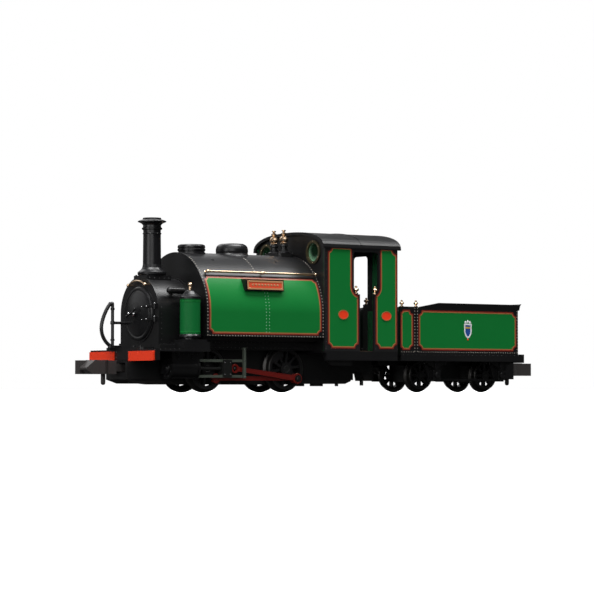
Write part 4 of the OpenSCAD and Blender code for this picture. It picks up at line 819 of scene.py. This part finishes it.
# ---------------------------------------------------------------- tender
for s, side in ((1, "left"), (-1, "right")):
    S = flat_y(s, 11.5)
    lined_panel("tender_" + side, incurved(-61.45, -36.4, 7.85, 15.75, 0.85), S, T)
    lined_panel("tender_wing_" + side, incurved(-35.1, -32.0, 7.85, 15.75, [0.8, 0.5, 0.5, 0.8]), S, T)
    rv = row((-36.5, 7.47), (-61.6, 7.47), 0.6) + row((-61.7, 7.6), (-61.7, 15.9), 0.6)
    rv += row((-32.3, 7.47), (-35.2, 7.47), 0.6)
    # pale tender rivets: worn paint and painted highlight
    domes("tender_edge_rivets_" + side, rivets_on(S, rv, 0.1, 0.07), rivet_wear_and_glint, T)
    C = flat_y(s, 11.6)
    domes("tender_corner_rivets_" + side, rivets_on(C, row((-36.1, 7.6), (-36.1, 16.1), 0.6), 0.11, 0.08) + rivets_on(S, row((-35.5, 7.6), (-35.5, 16.1), 0.6), 0.11, 0.08), rivet_wear_and_glint, T)
    # blank shield in place of the crest
    cx, cz = -48.85, 12.0
    sh = [(cx - 0.95, cz + 1.25), (cx - 0.95, cz - 0.2)] + [(cx - 0.95 * math.cos(t), cz - 0.2 - 1.45 * math.sin(t) ** 1.2) for t in [math.radians(k) for k in (15, 30, 45, 60, 75, 90, 105, 120, 135, 150, 165)]] + [(cx + 0.95, cz - 0.2), (cx + 0.95, cz + 1.25)]
    sh = ccw(dense(sh, 0.3))
    skin("shield_field_" + side, sh, S, 0.03, blue, T, step=0.06)
    ribbon("shield_edge_" + side, sh, offset_poly(sh, 0.3), S, 0.06, white, T)
    bar = ccw(dense([(cx - 0.62, cz + 0.25), (cx + 0.62, cz + 0.25), (cx + 0.62, cz + 0.62), (cx - 0.62, cz + 0.62)]))
    skin("shield_bar_" + side, bar, S, 0.055, gold, T, step=0.1, low=0.0)
    domes("shield_beads_" + side, rivets_on(S, [(cx - 0.55, cz + 1.5), (cx, cz + 1.68), (cx + 0.55, cz + 1.5)], 0.27, 0.08), white, T, 14)
    domes("shield_drop_" + side, rivets_on(S, [(cx, cz - 1.92)], 0.2, 0.08), red, T, 14)
    # valance rivets, axlebox lids, spring buckles, guard bolts
    V = flat_y(s, 11.85)
    domes("tender_valance_rivets_" + side, rivets_on(V, row((-32.4, 6.9), (-62.8, 6.9), 1.1), 0.09, 0.05), rivet_black, T)
    for i, xa in enumerate((-41.8, -58.4)):
        lathe("axlebox_lid_%s_%d" % (side, i), (xa, s * 10.68, 2.95), (0, s, 0), [(0, 0.6), (0.1, 0.6), (0.18, 0.45), (0.22, 0.1)], black_gloss, T, 20)
        domes("axlebox_bolts_%s_%d" % (side, i), [((xa + dx, s * 10.5, 2.95 + dz), (0, s, 0), 0.1, 0.08) for dx in (-0.75, 0.75) for dz in (-0.8, 0.8)], rivet_black, T, 6)
        block("spring_buckle_%s_%d" % (side, i), xa - 0.42, xa + 0.42, min(s * 10.28, s * 10.62), max(s * 10.28, s * 10.62), 4.35, 5.75, black_gloss, T, 0.08)
        domes("hanger_bolts_%s_%d" % (side, i), [((xa + dx, s * 9.92, 5.72), (0, 0, 1), 0.26, 0.12) for dx in (-2.6, 2.6)], rivet_black, T, 8)
lined_panel("tender_end", incurved(-11.0, 11.0, 7.85, 15.5, 0.85), flat_x(-61.9, -1), T)
domes("tender_end_rivets", rivets_on(flat_x(-61.9, -1), row((-11.2, 7.47), (11.2, 7.47), 0.6), 0.1, 0.06), rivet_wear_and_glint, T)
# tender top: rivets along the tank top, and the filler with its hinge and catch
domes("tender_top_rivets", [((x, s * 9.9, 15.3), (0, 0, 1), 0.1, 0.06) for s in (1, -1) for x in [-37.5 - 0.9 * k for k in range(26)]], rivet_black, T)
lathe("tender_filler_lid", (-57.5, 0, 16.4), (0, 0, 1), [(0, 1.75), (0.12, 1.85), (0.26, 1.8), (0.4, 1.3), (0.46, 0.3), (0.46, 0.05)], black_gloss, T, 32)
block("tender_filler_hinge", -59.6, -58.9, -0.5, 0.5, 16.3, 16.75, black_gloss, T)
domes("tender_filler_catch", [((-55.75, 0, 16.5), (0.4, 0, 1), 0.28, 0.3)], brass, T, 10)
# headstock behind the tender
domes("tender_headstock_bolts", [((-63.2, y, 6.2), (-1, 0, 0), 0.14, 0.1) for y in (-10.5, -8, -5.5, 5.5, 8, 10.5)], rivet_black, T)

# ---------------------------------------------------------------- couplers: moulded ribs and a boss
for s, bd, x0 in ((1, "front_coupler", 33.2), (-1, "rear_coupler", -73.2)):
    for k in (-1, 1):
        block("coupler_rib_%s_%d" % (bd, k > 0), min(x0 - s * 4.9, x0 - s * 1.9), max(x0 - s * 4.9, x0 - s * 1.9), k * 1.55 - 0.12, k * 1.55 + 0.12, 5.42, 5.56, black_matt, bd, 0.04)
    domes("coupler_boss_" + bd, [((x0 - s * 4.7, 0, 5.5), (0, 0, 1), 0.42, 0.08)], black_matt, bd, 14)

# ---------------------------------------------------------------- stage
floor_mat, nt, b, co = tree("floor")
lpf = nt.nodes.new("ShaderNodeLightPath")
seen = mix(nt, noise(nt, co, 1.5, 1), (0.83, 0.83, 0.825), (0.86, 0.86, 0.86))
nt.links.new(mix(nt, lpf.outputs["Is Camera Ray"], (0.045, 0.045, 0.045), seen), b.inputs["Base Color"])
b.inputs["Roughness"].default_value = 1.0
b.inputs["Specular IOR Level"].default_value = 0.0
nt.links.new(mix(nt, lpf.outputs["Is Camera Ray"], (0, 0, 0), (1, 1, 1)), b.inputs["Emission Color"])
b.inputs["Emission Strength"].default_value = 0.9
me = bpy.data.meshes.new("floor")
me.from_pydata([(-6, -6, 0), (6, -6, 0), (6, 6, 0), (-6, 6, 0)], [], [(0, 1, 2, 3)])
me.materials.append(floor_mat)
floor = bpy.data.objects.new("floor", me)
bpy.context.scene.collection.objects.link(floor)

world = bpy.data.worlds.new("studio")
bpy.context.scene.world = world
world.use_nodes = True
nt = world.node_tree
bg = nt.nodes["Background"]
tcw = nt.nodes.new("ShaderNodeTexCoord")
sep = nt.nodes.new("ShaderNodeSeparateXYZ")
nt.links.new(tcw.outputs["Generated"], sep.inputs[0])
ramp = nt.nodes.new("ShaderNodeValToRGB")
ramp.color_ramp.elements[0].position = 0.0
ramp.color_ramp.elements[0].color = (0.02, 0.02, 0.02, 1)
ramp.color_ramp.elements[1].position = 1.0
ramp.color_ramp.elements[1].color = (0.55, 0.56, 0.58, 1)
mid = ramp.color_ramp.elements.new(0.45)
mid.color = (0.035, 0.035, 0.036, 1)
nt.links.new(sep.outputs["Z"], ramp.inputs["Fac"])
lp = nt.nodes.new("ShaderNodeLightPath")
mx = nt.nodes.new("ShaderNodeMix")
mx.data_type = "RGBA"
nt.links.new(lp.outputs["Is Camera Ray"], mx.inputs["Factor"])
ia = [i for i in mx.inputs if i.type == "RGBA"]
nt.links.new(ramp.outputs["Color"], ia[0])
ia[1].default_value = (1, 1, 1, 1)
nt.links.new([o for o in mx.outputs if o.type == "RGBA"][0], bg.inputs["Color"])
bg.inputs["Strength"].default_value = 1.0


def area_light(name, loc, target, sx, sy, power, col=(1, 1, 1)):
    L = bpy.data.lights.new(name, "AREA")
    L.shape = "RECTANGLE"
    L.size, L.size_y = sx, sy
    L.energy = power
    L.color = col
    o = bpy.data.objects.new(name, L)
    bpy.context.scene.collection.objects.link(o)
    o.location = loc
    d = Vector(target) - Vector(loc)
    o.rotation_euler = d.to_track_quat("-Z", "Y").to_euler()
    return o


C0 = (0.0, 0.0, 0.015)
area_light("top", (0.0, 0.12, 0.55), C0, 0.9, 0.2, 7.3)
area_light("front", (0.34, 0.46, 0.16), C0, 0.4, 0.25, 0.72)
area_light("side", (0.05, 0.55, 0.42), C0, 0.7, 0.2, 0.65)
area_light("nose", (0.55, 0.10, 0.12), C0, 0.3, 0.25, 0.7)
area_light("far", (0.34, -0.42, 0.22), C0, 0.4, 0.3, 0.25)
area_light("back", (-0.1, -0.5, 0.4), C0, 0.5, 0.3, 0.8)

# ---------------------------------------------------------------- camera
phi, th = math.radians(34.756), math.radians(2.202)
d = Vector((-math.sin(phi) * math.cos(th), -math.cos(phi) * math.cos(th), math.sin(th)))
cam = bpy.data.cameras.new("camera")
co = bpy.data.objects.new("camera", cam)
bpy.context.scene.collection.objects.link(co)
co.location = Vector((272.767, 386.278, 0.645)) / 1000
co.rotation_euler = d.to_track_quat("-Z", "Y").to_euler()
cam.sensor_width = 36
cam.lens = 145.46
cam.clip_start = 0.001
cam.clip_end = 20
bpy.context.scene.camera = co
bpy.context.scene.view_settings.view_transform = "Standard"
